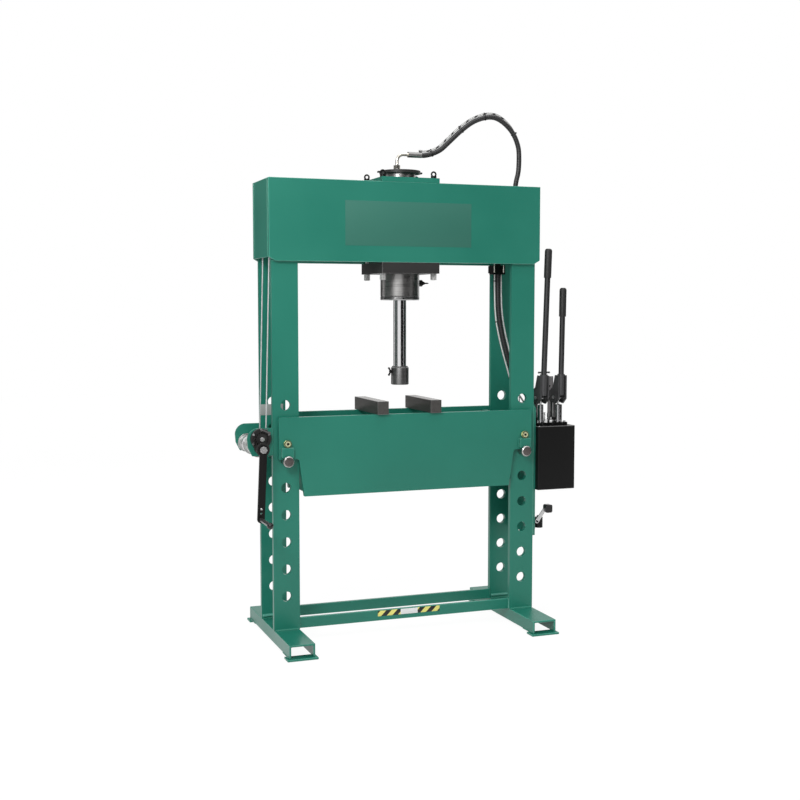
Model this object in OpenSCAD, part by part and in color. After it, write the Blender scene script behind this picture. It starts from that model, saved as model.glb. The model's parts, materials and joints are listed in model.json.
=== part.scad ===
// Workshop hydraulic press: welded H-frame, height-adjustable bed on pins, hand winch,
// two-lever hand pump and a hydraulic cylinder with a long ram.
// Origin: centre of the footprint on the floor. X to the right, Y to the back, Z up.

/* [Header] */
// Height of the header's top edge above the floor
frame_h = 1900; // [1850:10:1960]
// Height of the header plates
header_h = 330; // [320:2:340]
// Distance over the two header plates, front to back
header_depth = 270; // [266:1:276]
// Thickness of the header plates
header_plate_t = 20; // [16:1:22]
// Thickness of the header's end plates
header_end_t = 8; // [5:0.5:8]
// Width of the bevel at the header's lower corners
header_bevel_w = 27; // [15:1:40]
// Height of the bevel at the header's lower corners
header_bevel_h = 15; // [10:1:30]

/* [Uprights and feet] */
// Clear width between the left and the right uprights
throat_w = 952; // [900:2:1000]
// Width of an upright bar
upright_w = 110; // [108:1:111]
// Thickness of an upright bar
upright_t = 20; // [16:1:22]
// Gap between an upright and the header's end plate beside it
upright_end_gap = 6; // [1:0.5:12]
// How far an upright ends below the header's top edge
upright_top_gap = 20; // [0:1:40]
// Diameter of the holes for the bed pins
hole_d = 42; // [41:0.5:46]
// Height of the lowest pin hole
first_hole_z = 201; // [190:1:215]
// Distance from one pin hole to the next
hole_pitch = 112.5; // [110:0.5:114]
// Number of pin holes in each upright
hole_count = 8; // [7:1:10]
// Width of a foot channel
foot_w = 106; // [90:1:110]
// Height of a foot channel
foot_h = 53; // [50:1:60]
// Wall of a foot channel
foot_wall = 8; // [4:0.5:12]
// Reach of a foot to the front
foot_front = 345; // [250:5:400]
// Reach of a foot to the back
foot_back = 325; // [250:5:400]
// Thickness of a foot's end pad
pad_t = 9; // [6:0.5:14]
// Length of a foot's end pad
pad_len = 55; // [40:1:90]
// How far a pad stands out beside its foot
pad_side = 10.5; // [4:0.5:25]
// How far a pad stands out past the end of its foot
pad_end = 13; // [0:0.5:30]
// Height of a crossbar between the feet of the uprights
crossbar_h = 45; // [30:1:70]
// Thickness of a crossbar
crossbar_t = 15; // [8:0.5:20]
// How far a crossbar's outer face lies inside the upright's outer face
crossbar_setback = 10; // [0:0.5:15]

/* [Bed] */
// Height of the bed's side plates
bed_h = 326; // [318:1:330]
// Thickness of the bed's side plates
bed_plate_t = 20; // [14:1:24]
// Running gap between the bed plates and the uprights
bed_gap = 1.5; // [0.8:0.1:3]
// Reach of the bed's ears past the pins' centre
ear_reach = 34; // [30:1:45]
// Length of the bed's upper edge above the pins
bed_rise = 178; // [172:1:184]
// Height of the ears' lower edge above the pins' centre
ear_rise = 7; // [0:0.5:10]
// Lap of the bed's sides over the uprights, just under the ears
waist_lap = 3; // [1:1:14]
// How much each end of the bed slants in down to its lower edge
bed_taper = 20; // [14:1:22]
// Radius of the inner corner under an ear
ear_corner_r = 14; // [8:1:18]
// Thickness of the bed's cross walls
spacer_t = 15; // [8:1:20]
// Clearance between the bed's cross walls and the uprights
spacer_clear = 21; // [18:1:26]
// Width of a saddle block over a pin
saddle_w = 50; // [40:1:60]
// Height of a saddle block
saddle_h = 34; // [24:1:44]
// Thickness of a saddle block
saddle_t = 14.5; // [8:0.5:18]
// Height of an ear bolt above the pins' centre
ear_bolt_rise = 71; // [66:1:90]
// Thread diameter of an ear bolt
ear_bolt_d = 16; // [10:1:18]
// Thickness of the lifting arms that reach between the uprights
arm_t = 12; // [8:0.5:16]
// Depth of the lifting arms below the bed's upper edge
arm_drop = 45; // [40:1:60]

/* [Bed pins] */
// Diameter of a bed pin
pin_d = 40; // [38:0.5:41]
// Number of pin holes below the ones that the bed stands on
bed_hole_count = 5; // [5:1:6]
// How far a pin stands out in front of the saddle block
pin_nose = 14; // [10:0.5:18]
// How far a pin stands out behind the rear ear
pin_tail = 14; // [8:0.5:16]
// Chamfer at the ends of a pin
pin_chamfer = 4; // [1:0.5:5]
// Diameter of a pin's head
pin_head_d = 46; // [44:1:50]
// Thickness of a pin's head
pin_head_t = 11; // [6:0.5:12]

/* [Arbor bars] */
// Width of an arbor bar
bar_w = 49; // [40:1:60]
// Height of an arbor bar
bar_h = 55; // [40:1:58]
// Length of an arbor bar
bar_len = 307; // [290:1:330]
// Middle of the left arbor bar, to the left of the centre
bar_left_x = 123.5; // [110:0.5:150]
// Middle of the right arbor bar, to the right of the centre
bar_right_x = 112.5; // [100:0.5:150]

/* [Cylinder] */
// Place of the cylinder along the header
cyl_x = 5; // [-10:1:20]
// Diameter of the cylinder below the header
barrel_d = 166; // [160:1:172]
// Diameter of the cylinder inside the header
barrel_top_d = 140; // [136:1:146]
// Bore of the cylinder
bore_d = 100; // [90:1:110]
// Length of the cylinder below its flange
barrel_drop = 97; // [90:1:110]
// Height of the gland ring
gland_h = 14; // [10:0.5:20]
// Width of the clamp flange under the header
flange_w = 254; // [250:1:270]
// Thickness of the clamp flange
flange_t = 45; // [30:1:50]
// Thickness of the clamp plate on the header
top_plate_t = 20; // [15:1:25]
// Distance of the clamp studs from the cylinder's axis, along X
stud_dx = 113; // [108:1:115]
// Distance of the clamp studs from the cylinder's axis, along Y
stud_dy = 102; // [100:0.5:104]
// Diameter of the clamp studs
stud_d = 16; // [12:1:18]
// Height of the nuts under the clamp flange
stud_nut_h = 27; // [16:1:30]
// Diameter of the cylinder's neck on the clamp plate
neck_d = 130; // [124:1:134]
// Height of the neck above the clamp plate
neck_h = 26; // [20:1:32]
// Diameter of the head cap
cap_d = 174; // [165:1:180]
// Thickness of the head cap
cap_t = 12; // [8:1:16]

/* [Ram] */
// Diameter of the ram rod
rod_d = 56; // [50:1:60]
// Length of rod that stands out of the gland
rod_out = 280; // [275:1:290]
// Diameter of the ram's nose
nose_d = 76; // [72:1:84]
// Length of the ram's nose
nose_len = 79; // [70:1:82]
// Depth of rod inside the nose
nose_socket = 44; // [36:1:50]
// Height of the piston
piston_h = 45; // [30:1:55]
// Diameter of the nose's thumb screw
thumb_d = 10; // [8:0.5:12]

/* [Bed ropes] */
// Diameter of the wire ropes
rope_d = 6; // [5:0.5:7]
// Radius from a sheave's axis to the middle of the rope
sheave_r = 26; // [25:0.5:26]
// Radius of a sheave's flanges
sheave_flange_r = 31; // [30:0.5:32]
// Width of a sheave
sheave_w = 14; // [12:0.5:15]
// Diameter of the sheave shafts
sheave_shaft_d = 20; // [16:1:24]
// Height of the sheave shafts below the header's top edge
sheave_drop = 160; // [150:1:200]
// Place of the left lift's rope, front to back
rope_left_y = 20; // [10:1:40]
// Place of the right lift's rope, to the front of the middle
rope_right_y = 85; // [83:0.5:86]
// Diameter of the threaded rope ends
rope_end_d = 12; // [10:1:13]

/* [Winch] */
// Distance of the winch drum's axis from the left uprights
winch_reach = 56; // [54:1:60]
// Height of the winch drum's axis
winch_z = 819; // [812:1:830]
// Radius of the winch drum
drum_r = 31; // [29:0.5:32]
// Radius of the drum's flanges
drum_flange_r = 39; // [37:0.5:41]
// Thickness of the winch plates
winch_plate_t = 10; // [6:0.5:14]
// Thickness of the brake housing
brake_t = 16; // [10:1:22]
// Radius of the brake housing
brake_r = 42; // [38:1:46]
// Diameter of the drum shaft
drum_shaft_d = 20; // [16:1:22]
// Length of the crank arm between its axes
crank_len = 279; // [260:1:290]
// Width of the crank arm
crank_w = 30; // [26:1:36]
// Thickness of the crank arm
crank_t = 9; // [6:1:12]
// Angle of the resting crank to the left of plumb
crank_lean = 2.5; // [0:0.5:4]
// Diameter of the crank's grip
grip_d = 17; // [14:1:22]
// Length of the crank's grip
grip_len = 138; // [80:1:145]
// Diameter of the ball at the end of the grip
ball_d = 26; // [22:1:32]

/* [Pump] */
// Thickness of the pump's mounting plate
pump_plate_t = 12; // [8:1:14]
// Height of the mounting plate's lower edge
pump_plate_z0 = 382; // [370:1:390]
// Height of the mounting plate's upper edge
pump_plate_z1 = 960; // [940:1:970]
// Width of the oil tank
tank_w = 181; // [176:1:200]
// Depth of the oil tank, front to back
tank_depth = 250; // [246:1:260]
// How far the tank stands out in front of the uprights
tank_front = 24; // [18:1:30]
// Height of the oil tank
tank_h = 280; // [250:1:300]
// Height of the tank's lower edge
tank_z = 585; // [575:1:590]
// Wall of the oil tank
tank_wall = 4; // [2:0.5:6]
// Thickness of the pump's base plate
pump_base_t = 12; // [8:1:16]
// Distance of the left pump from the mounting plate
pump_left_dx = 46; // [44:1:50]
// Distance between the left and the right pump
pump_pitch = 87; // [82:1:95]
// Diameter of the left plunger
plunger_left_d = 16; // [12:1:18]
// Diameter of the right plunger
plunger_right_d = 25; // [18:1:26]
// Place of the plungers, to the front of the middle
plunger_y = 18; // [16:1:20]
// Distance from a lever's pivot to its plunger
lever_arm = 49; // [48:1:52]
// Height of the lever pivots above the base plate
pivot_rise = 108; // [104:1:114]
// Distance from a lever's pivot to its socket
socket_reach = 23; // [21:1:26]
// Thickness of a lever's cheeks
cheek_t = 7; // [5:0.5:8]
// Inner width between a lever's cheeks
cheek_gap = 28; // [27:1:30]
// Diameter of the left lever's rod
lever_left_d = 25; // [20:1:26]
// Diameter of the right lever's rod
lever_right_d = 24; // [20:1:26]
// Height of the left lever's tip above its pivot
lever_left_h = 654; // [600:1:700]
// Height of the right lever's tip above its pivot
lever_right_h = 485; // [440:1:520]
// Length of the levers' grips
lever_grip_len = 126; // [100:1:140]
// Wall of the levers' grips
lever_grip_wall = 3.5; // [2:0.5:5]
// Angle of the left lever's lean to the front
lever_left_lean = 3.5; // [1:0.5:5]
// Angle of the right lever's lean to the front
lever_right_lean = 1.5; // [0:0.5:4]

/* [Hoses] */
// Diameter of the pressure hose
hose_d = 21; // [16:0.5:21]
// Diameter of the light tube tied to the pressure hose
tube_d = 8; // [6:0.5:8]

/* [Hidden] */
$fn = 64;
eps = 0.01;
fit = 0.05;       // radial clearance of a running fit
seat_gap = 0.3;   // clearance between pieces that part or move past each other
weld_gap = 0.3;

// Frame
header_z0 = frame_h - header_h;
header_len = throat_w + 2 * (upright_w + upright_end_gap + header_end_t);
plate_y = header_depth / 2 - header_plate_t;
upright_x0 = throat_w / 2;
upright_x1 = upright_x0 + upright_w;
upright_y0 = plate_y - upright_t;
hole_x = upright_x0 + upright_w / 2;
foot_z1 = pad_t + foot_h;
function hole_z(level) = first_hole_z + level * hole_pitch;

// Bed and pins
pin_z = hole_z(bed_hole_count) - (hole_d - pin_d) / 2 + seat_gap;
bed_top = pin_z + bed_rise;
bed_z0 = bed_top - bed_h;
bed_y0 = plate_y + bed_gap;
bed_y1 = bed_y0 + bed_plate_t;
ear_x = hole_x + ear_reach;
bed_waist = upright_x0 + waist_lap;
bed_foot = bed_waist - bed_taper;
spacer_x = upright_x0 - spacer_clear;
ear_z = pin_z + ear_rise;
saddle_y = bed_y1 + saddle_t;
spacer_gap = 15;  // how far the cross walls stay inside the bed's edges
pin_y0 = -saddle_y - pin_nose;
pin_y1 = saddle_y + pin_tail;
arm_z1 = bed_top - arm_drop;
arm_z0 = arm_z1 - arm_t;
arm_x = hole_x + 17;
arm_half_w = 40;  // half the width of the left lifting arm
arm_margin = 7;   // from a rope's middle to the edge of its arm
rope_end_rise = 35;

// Cylinder and ram
flange_z0 = header_z0 - flange_t;
flange_y = header_depth / 2;
barrel_z0 = flange_z0 - barrel_drop;
gland_z0 = barrel_z0 - gland_h;
gland_stub_h = 18;
gland_stub_r = bore_d / 2 + 5;
bore_z0 = barrel_z0 + gland_stub_h;
top_plate_z1 = frame_h + top_plate_t;
neck_z1 = top_plate_z1 + neck_h;
cap_z1 = neck_z1 + cap_t;
cap_plug_h = 16;
nose_z1 = gland_z0 - rod_out;
nose_z0 = nose_z1 - nose_len;
rod_z0 = nose_z1 - nose_socket;
piston_z0 = bore_z0 + 6;
piston_z1 = piston_z0 + piston_h;
thumb_z = nose_z1 - 23;
eye_r = 9.5;      // eye nut: ring's middle radius
eye_wire_r = 3.5;
eye_base_h = 12;
port_x = cyl_x - 13;

// Hose elbow
elbow_r = 7;
elbow_bend = 29;
elbow_nut_h = 24;
elbow_z0 = cap_z1 + elbow_nut_h;
elbow_rise = 18;
elbow_z1 = elbow_z0 + elbow_rise + elbow_bend;
ferrule_reach = 36;
ferrule_len = 61;
ferrule_x0 = cyl_x + ferrule_reach;
ferrule_x1 = ferrule_x0 + ferrule_len;
ferrule_r = 12;

// Ropes and sheaves
sheave_z = frame_h - sheave_drop;
left_sheave_x = -(hole_x + sheave_r);
right_sheave_x = hole_x - sheave_r;
rope_r = rope_d / 2;
drum_rope_r = drum_r + rope_r + seat_gap;
drum_x = -(upright_x1 + winch_reach);
run_dx = left_sheave_x - drum_x;
run_dz = sheave_z - winch_z;
run_dist = norm([run_dx, run_dz]);
run_lean = atan2(run_dx, run_dz) - asin((drum_rope_r + sheave_r) / run_dist);
run_len = sqrt(run_dist ^ 2 - (drum_rope_r + sheave_r) ^ 2);
run_in = 0.5;     // straight runs end this far inside the wraps on the sheaves
wrap_r = rope_r + 0.02;
rope_turns = 3;
rope_pitch = rope_d + seat_gap;
rope_bottom_z = arm_z1 + rope_end_rise;

// Winch
winch_y1 = plate_y;
winch_y0 = winch_y1 - winch_plate_t;
drum_y1 = winch_y0 - 2;
drum_wall = 6;
brake_dx = 5;     // brake housing's middle from the drum's axis
brake_dz = 38;
brake_y1 = -winch_y1;
brake_y0 = brake_y1 - brake_t;
crank_y1 = pin_y0 - 15;
crank_y0 = crank_y1 - crank_t;
crank_hub_r = 20;
crank_bolt_r = 14;
grip_pin_d = 10;

// Pump
pump_x0 = upright_x1 + pump_plate_t;
pump_left_x = pump_x0 + pump_left_dx;
pump_right_x = pump_left_x + pump_pitch;
tank_y0 = -(plate_y + tank_front);
tank_y1 = tank_y0 + tank_depth;
tank_z1 = tank_z + tank_h;
tank_corner_r = 6;
base_z1 = tank_z1 + pump_base_t;
base_x0 = pump_left_x - 32;
base_x1 = pump_right_x + 32;
base_y0 = -95;
base_y1 = 62;
gland_rise = 16;
barrel_depth = 75;
pivot_z = base_z1 + pivot_rise;
pivot_y = -plunger_y - lever_arm;
post_d = 10;
pivot_pin_d = 12;
plunger_pin_d = 10;
slot_play = 1.2;
slot_run = 7;
eye_w = cheek_gap - 4;
socket_wall = 4.5;
socket_z0 = 12;   // socket's lower and upper ends above the pivot
socket_z1 = 105;
rod_seat = 18;    // lower end of a lever's rod above the pivot
catch_half = 28;  // half the length of the cross bar on the left lever
hose_port = [pump_left_x + 21, 45];
tube_port = [pump_left_x - 19, 45];
port_rise = 38;
port_z = base_z1 + port_rise;
valve_z = pump_plate_z0 + 62;

// Clamp that holds the hose and the tube below the header
clamp_h = 40;
clamp_z1 = header_z0 - 2;
clamp_z0 = clamp_z1 - clamp_h;
clamp_y = 20;
hose_drop_x = upright_x0 - 3;
tube_drop_x = upright_x0 - 19;

// Drawn places along the routes and what each one belongs to
route_x = [
    [102, ferrule_x1], [120, ferrule_x1 + 18], [440, upright_x0 - 36], [476, upright_x0],
    [586, upright_x1], [625, tube_port[0]], [665, hose_port[0]]
];
route_z = [
    [715, port_z - 200], [915, port_z], [1127, port_z + 212], [1500, clamp_z0 - 28],
    [1570, clamp_z1 + 2], [2029, elbow_z1], [2429, elbow_z1 + 400]
];
function follow(drawn) = [for (p = drawn) [lookup(p[0], route_x), p[1], lookup(p[2], route_z)]];

// Routes, from the cylinder to the pump
hose_route = follow([
    [102, 0, 2029], [118, 0, 2029], [150, 0, 2037], [190, 0, 2056], [228, 0, 2089], [288, 0, 2143],
    [347, 0, 2184], [414, 0, 2205], [468, 0, 2196], [524, 0, 2152], [555, 0, 2093],
    [562, 0, 2038], [559, 0, 1977], [547, 0, 1924], [543, 2, 1860], [541, 4, 1790],
    [536, 8, 1720], [518, 13, 1655], [490, 18, 1610], [473, 20, 1570], [473, 20, 1540],
    [473, 20, 1500], [474, 20, 1440], [476, 20, 1385], [483, 20, 1323], [499, 20, 1248],
    [518, 20, 1180], [535, 20, 1127], [552, 22, 1080], [577, 27, 1040], [608, 34, 1012],
    [638, 40, 985], [658, 44, 955], [665, 45, 930], [665, 45, 915]
]);
tube_route = follow([
    [104, 0, 2046], [120, 0, 2046], [146, 0, 2052], [181, 0, 2069], [217, 0, 2101], [278, 0, 2156],
    [340, 0, 2198], [412, 0, 2221], [474, 4, 2210], [534, 10, 2160], [558, 16, 2093],
    [562, 16, 2038], [559, 16, 1977], [547, 16, 1924], [542, 19, 1860], [536, 24, 1790],
    [527, 29, 1720], [503, 31, 1655], [472, 27, 1610], [457, 20, 1570], [457, 20, 1540],
    [457, 20, 1500], [458, 20, 1440], [460, 20, 1380], [467, 20, 1316], [483, 20, 1243],
    [502, 20, 1174], [519, 20, 1120], [536, 22, 1068], [560, 28, 1022], [590, 36, 990],
    [614, 43, 960], [625, 45, 935], [625, 45, 915]
]);

GREEN = [0.18, 0.5, 0.43];
BLACK = [0.13, 0.13, 0.13];
STEEL = [0.62, 0.62, 0.62];
DARK_STEEL = [0.35, 0.35, 0.36];
ZINC = [0.85, 0.8, 0.5];

// ---- Shared shapes ----

// Box between two corners
module block(lo, hi) {
    translate(lo) cube(hi - lo);
}

// Round bars along each axis, given by their ends
module bar_along_x(y, z, x0, x1, r) {
    translate([x0, y, z]) rotate([0, 90, 0]) cylinder(h = x1 - x0, r = r);
}

module bar_along_y(x, z, y0, y1, r) {
    translate([x, y0, z]) rotate([-90, 0, 0]) cylinder(h = y1 - y0, r = r);
}

module bar_along_z(x, y, z0, z1, r) {
    translate([x, y, z0]) cylinder(h = z1 - z0, r = r);
}

// Hexagonal prism across flats af
module hexagon(af, h) {
    cylinder(h = h, r = af / sqrt(3), $fn = 6);
}

// A flat outline in the XZ plane, from y0 to y1
module plate_xz(y0, y1) {
    translate([0, y1, 0]) rotate([90, 0, 0]) linear_extrude(y1 - y0) children();
}

// A flat outline in the YZ plane, from x0 to x1
module plate_yz(x0, x1) {
    translate([x0, 0, 0]) rotate([90, 0, 90]) linear_extrude(x1 - x0) children();
}

// Copies to the front and to the back
module front_and_back() {
    children();
    mirror([0, 1, 0]) children();
}

// Copies to the left and to the right
module left_and_right() {
    children();
    mirror([1, 0, 0]) children();
}

// Rectangle with round corners, exact arcs
module round_rect(lo, hi, r) {
    translate([lo[0] + r, lo[1]]) square([hi[0] - lo[0] - 2 * r, hi[1] - lo[1]]);
    translate([lo[0], lo[1] + r]) square([hi[0] - lo[0], hi[1] - lo[1] - 2 * r]);
    for (x = [lo[0] + r, hi[0] - r], y = [lo[1] + r, hi[1] - r])
        translate([x, y]) circle(r);
}

// Slot with round ends along the first axis, from x0 to x1
module slot_2d(x0, x1, r) {
    translate([x0, -r]) square([x1 - x0, 2 * r]);
    for (x = [x0, x1]) translate([x, 0]) circle(r);
}

// ---- Header ----

module header_outline() {
    half = header_len / 2;
    polygon([
        [-half, frame_h], [half, frame_h],
        [half, header_z0 + header_bevel_h], [half - header_bevel_w, header_z0],
        [-half + header_bevel_w, header_z0], [-half, header_z0 + header_bevel_h]
    ]);
}

module header_front() {
    color(GREEN) plate_xz(-header_depth / 2, -plate_y) header_outline();
}

module header_rear() {
    color(GREEN) plate_xz(plate_y, header_depth / 2) header_outline();
}

module header_ends() {
    half = header_len / 2;
    color(GREEN) left_and_right()
        block([half - header_end_t, -plate_y, header_z0 + header_bevel_h], [half, plate_y, frame_h]);
}

// ---- Uprights, feet and crossbars ----

// side is -1 on the left and 1 on the right; the shaft hole carries a sheave shaft
module upright(side, y0) {
    shaft_x = side < 0 ? left_sheave_x : right_sheave_x;
    color(GREEN) difference() {
        plate_xz(y0, y0 + upright_t)
            translate([side > 0 ? upright_x0 : -upright_x1, foot_z1])
                square([upright_w, frame_h - upright_top_gap - foot_z1]);
        for (level = [0 : hole_count - 1])
            bar_along_y(side * hole_x, hole_z(level), y0 - 1, y0 + upright_t + 1, hole_d / 2);
        bar_along_y(shaft_x, sheave_z, y0 - 1, y0 + upright_t + 1, sheave_shaft_d / 2 + fit);
    }
}

module upright_front_left() { upright(-1, -plate_y); }
module upright_front_right() { upright(1, -plate_y); }
module upright_rear_left() { upright(-1, upright_y0); }
module upright_rear_right() { upright(1, upright_y0); }

// Channel with its open side down
module foot(side) {
    x0 = side * hole_x - foot_w / 2;
    color(GREEN) difference() {
        block([x0, -foot_front, pad_t], [x0 + foot_w, foot_back, foot_z1]);
        block([x0 + foot_wall, -foot_front - 1, pad_t - 1],
            [x0 + foot_w - foot_wall, foot_back + 1, foot_z1 - foot_wall]);
    }
}

module foot_left() { foot(-1); }
module foot_right() { foot(1); }

module foot_pads() {
    half_w = foot_w / 2 + pad_side;
    color(GREEN) for (side = [-1, 1], end = [-1, 1]) {
        y_end = (end < 0 ? foot_front : foot_back) + pad_end;
        y0 = end < 0 ? -y_end : y_end - pad_len;
        block([side * hole_x - half_w, y0, 0], [side * hole_x + half_w, y0 + pad_len, pad_t]);
    }
}

module crossbar_front() {
    y0 = -plate_y + crossbar_setback;
    color(GREEN) block([-upright_x0, y0, foot_z1], [upright_x0, y0 + crossbar_t, foot_z1 + crossbar_h]);
}

module crossbar_rear() {
    y1 = plate_y - crossbar_setback;
    color(GREEN) block([-upright_x0, y1 - crossbar_t, foot_z1], [upright_x0, y1, foot_z1 + crossbar_h]);
}

// ---- Cylinder ----

// Places of the four clamp studs
module at_studs() {
    for (sx = [-1, 1], sy = [-1, 1])
        translate([cyl_x + sx * stud_dx, sy * stud_dy, 0]) children();
}

module cylinder_flange() {
    color(BLACK) difference() {
        block([cyl_x - flange_w / 2, -flange_y, flange_z0], [cyl_x + flange_w / 2, flange_y, header_z0]);
        bar_along_z(cyl_x, 0, flange_z0 - 1, header_z0 + 1, barrel_top_d / 2 + fit);
        at_studs() bar_along_z(0, 0, flange_z0 - 1, header_z0 + 1, stud_d / 2 + 1);
    }
}

module cylinder_barrel() {
    r_low = barrel_d / 2;
    r_top = barrel_top_d / 2;
    color(DARK_STEEL) translate([cyl_x, 0, 0]) rotate_extrude() polygon([
        [gland_stub_r, barrel_z0], [r_low - 3, barrel_z0], [r_low - 3, barrel_z0 + 2],
        [r_low, barrel_z0 + 2], [r_low, flange_z0], [r_top, flange_z0],
        [r_top, frame_h], [neck_d / 2, frame_h], [neck_d / 2, neck_z1],
        [bore_d / 2, neck_z1], [bore_d / 2, bore_z0], [gland_stub_r, bore_z0]
    ]);
}

module gland_ring() {
    r = barrel_d / 2;
    color(DARK_STEEL) translate([cyl_x, 0, 0]) rotate_extrude() polygon([
        [rod_d / 2 + fit, gland_z0], [r - 2, gland_z0], [r, gland_z0 + 2], [r, barrel_z0],
        [gland_stub_r - fit, barrel_z0], [gland_stub_r - fit, bore_z0], [rod_d / 2 + fit, bore_z0]
    ]);
}

module top_plate() {
    color(GREEN) difference() {
        block([cyl_x - flange_w / 2, -flange_y, frame_h], [cyl_x + flange_w / 2, flange_y, top_plate_z1]);
        bar_along_z(cyl_x, 0, frame_h - 1, top_plate_z1 + 1, neck_d / 2 + fit);
        at_studs() bar_along_z(0, 0, frame_h - 1, top_plate_z1 + 1, stud_d / 2 + 1);
    }
}

module head_cap() {
    tab_w = 16;
    tab_x = cap_d / 2 + 12;
    color(BLACK) difference() {
        union() {
            bar_along_z(cyl_x, 0, neck_z1, cap_z1, cap_d / 2);
            bar_along_z(cyl_x, 0, neck_z1 - cap_plug_h, neck_z1 + 1, bore_d / 2 - fit);
            block([cyl_x - tab_x, -tab_w / 2, neck_z1 + 3], [cyl_x + tab_x, tab_w / 2, cap_z1 - 2]);
        }
        bar_along_z(port_x, 0, neck_z1 - cap_plug_h - 1, cap_z1 + 1, 5);
        for (s = [-1, 1]) bar_along_z(cyl_x + s * (tab_x - 6), 0, neck_z1, cap_z1, 2.5);
    }
}

module clamp_studs() {
    color(DARK_STEEL) at_studs() {
        bar_along_z(0, 0, flange_z0 - stud_nut_h, top_plate_z1 + eye_base_h - 2, stud_d / 2);
        translate([0, 0, flange_z0 - stud_nut_h + 1]) hexagon(stud_d * 1.5, stud_nut_h - 1);
    }
}

module eye_nuts() {
    ring_z = top_plate_z1 + eye_base_h + 7;
    color(BLACK) at_studs() difference() {
        union() {
            bar_along_z(0, 0, top_plate_z1, top_plate_z1 + eye_base_h, 12);
            translate([0, 0, ring_z]) rotate([90, 0, 0]) rotate_extrude()
                translate([eye_r, 0]) circle(eye_wire_r, $fn = 16);
        }
        bar_along_z(0, 0, top_plate_z1 - 1, top_plate_z1 + eye_base_h - 1.5, stud_d / 2 + fit);
    }
}

module hose_elbow() {
    bend_x = port_x + elbow_bend;
    color(ZINC) {
        translate([port_x, 0, cap_z1]) hexagon(27, elbow_nut_h);
        bar_along_z(port_x, 0, elbow_z0, elbow_z0 + elbow_rise, elbow_r);
        translate([bend_x, 0, elbow_z0 + elbow_rise]) rotate([90, 0, 0]) rotate([0, 0, 90])
            rotate_extrude(angle = 90) translate([elbow_bend, 0]) circle(elbow_r, $fn = 16);
        bar_along_x(0, elbow_z1, bend_x, ferrule_x0, elbow_r);
    }
    color(DARK_STEEL) {
        bar_along_x(0, elbow_z1, ferrule_x0, ferrule_x1, ferrule_r);
        bar_along_x(0, elbow_z1 + 17, ferrule_x1 - 10, ferrule_x1 + 2, 5.5);
    }
}

module bleed_fitting() {
    x0 = cyl_x + barrel_d / 2;
    z = flange_z0 - 38;
    color(BLACK) translate([x0, 0, z]) rotate([0, 90, 0]) {
        translate([0, 0, 0.5]) hexagon(24, 18);
        cylinder(h = 22, r = 8);
        translate([0, 0, 22]) cylinder(h = 8, r1 = 8, r2 = 5);
        translate([0, 0, 30]) cylinder(h = 12, r = 3);
        translate([0, 0, 42]) cylinder(h = 6, r1 = 3, r2 = 1.5);
    }
}

// ---- Ram ----

module ram_rod() {
    r = rod_d / 2;
    color(STEEL) translate([cyl_x, 0, 0]) rotate_extrude() polygon([
        [0, rod_z0], [r - 2, rod_z0], [r, rod_z0 + 2], [r, piston_z0],
        [bore_d / 2 - fit, piston_z0], [bore_d / 2 - fit, piston_z1], [0, piston_z1]
    ]);
}

module nose() {
    r = nose_d / 2;
    socket_r = rod_d / 2 + fit;
    color(DARK_STEEL) difference() {
        translate([cyl_x, 0, 0]) rotate_extrude() polygon([
            [0, nose_z0], [r - 2, nose_z0], [r, nose_z0 + 2], [r, nose_z1 - 7],
            [r - 4, nose_z1 - 3], [r - 4, nose_z1], [socket_r, nose_z1],
            [socket_r, rod_z0 - seat_gap], [0, rod_z0 - seat_gap]
        ]);
        bar_along_x(0, thumb_z, cyl_x - r - 1, cyl_x - r / 2, thumb_d / 2 + fit);
    }
}

// Wing-headed clamp screw in the side of the nose
module nose_screw() {
    tip_x = cyl_x - rod_d / 2 - seat_gap;
    head_x = cyl_x - nose_d / 2 - 3;
    color(BLACK) {
        bar_along_x(0, thumb_z, head_x, tip_x, thumb_d / 2);
        bar_along_x(0, thumb_z, head_x - 6, head_x, thumb_d / 2 + 2);
        for (s = [-1, 1]) plate_xz(-1.5, 1.5) polygon([
            [head_x, thumb_z + s * 4], [head_x - 6, thumb_z + s * 3], [head_x - 14, thumb_z + s * 15],
            [head_x - 9, thumb_z + s * 19], [head_x - 5, thumb_z + s * 16]
        ]);
    }
}

// ---- Bed ----

// Bed side plate: ears over the pins, waist between the uprights
module bed_outline() {
    r = ear_corner_r;
    difference() {
        polygon([
            [-ear_x, bed_top], [ear_x, bed_top], [ear_x, ear_z], [bed_waist + r, ear_z],
            [bed_waist, ear_z - r], [bed_foot, bed_z0], [-bed_foot, bed_z0],
            [-bed_waist, ear_z - r], [-bed_waist - r, ear_z], [-ear_x, ear_z]
        ]);
        for (s = [-1, 1]) {
            translate([s * hole_x, pin_z]) circle(pin_d / 2 + seat_gap);
            translate([s * (bed_waist + r), ear_z - r]) circle(r);
        }
    }
}

// Tapped holes for the ear bolts
module ear_bolt_holes(y0, y1) {
    for (s = [-1, 1])
        bar_along_y(s * hole_x, pin_z + ear_bolt_rise, y0, y1, ear_bolt_d / 2 + fit);
}

module bed_front() {
    color(GREEN) difference() {
        plate_xz(-bed_y1, -bed_y0) bed_outline();
        ear_bolt_holes(-bed_y1 - 1, -bed_y0 + 1);
    }
}

module bed_rear() {
    color(GREEN) difference() {
        plate_xz(bed_y0, bed_y1) bed_outline();
        ear_bolt_holes(bed_y0 - 1, bed_y1 + 1);
    }
}

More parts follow.
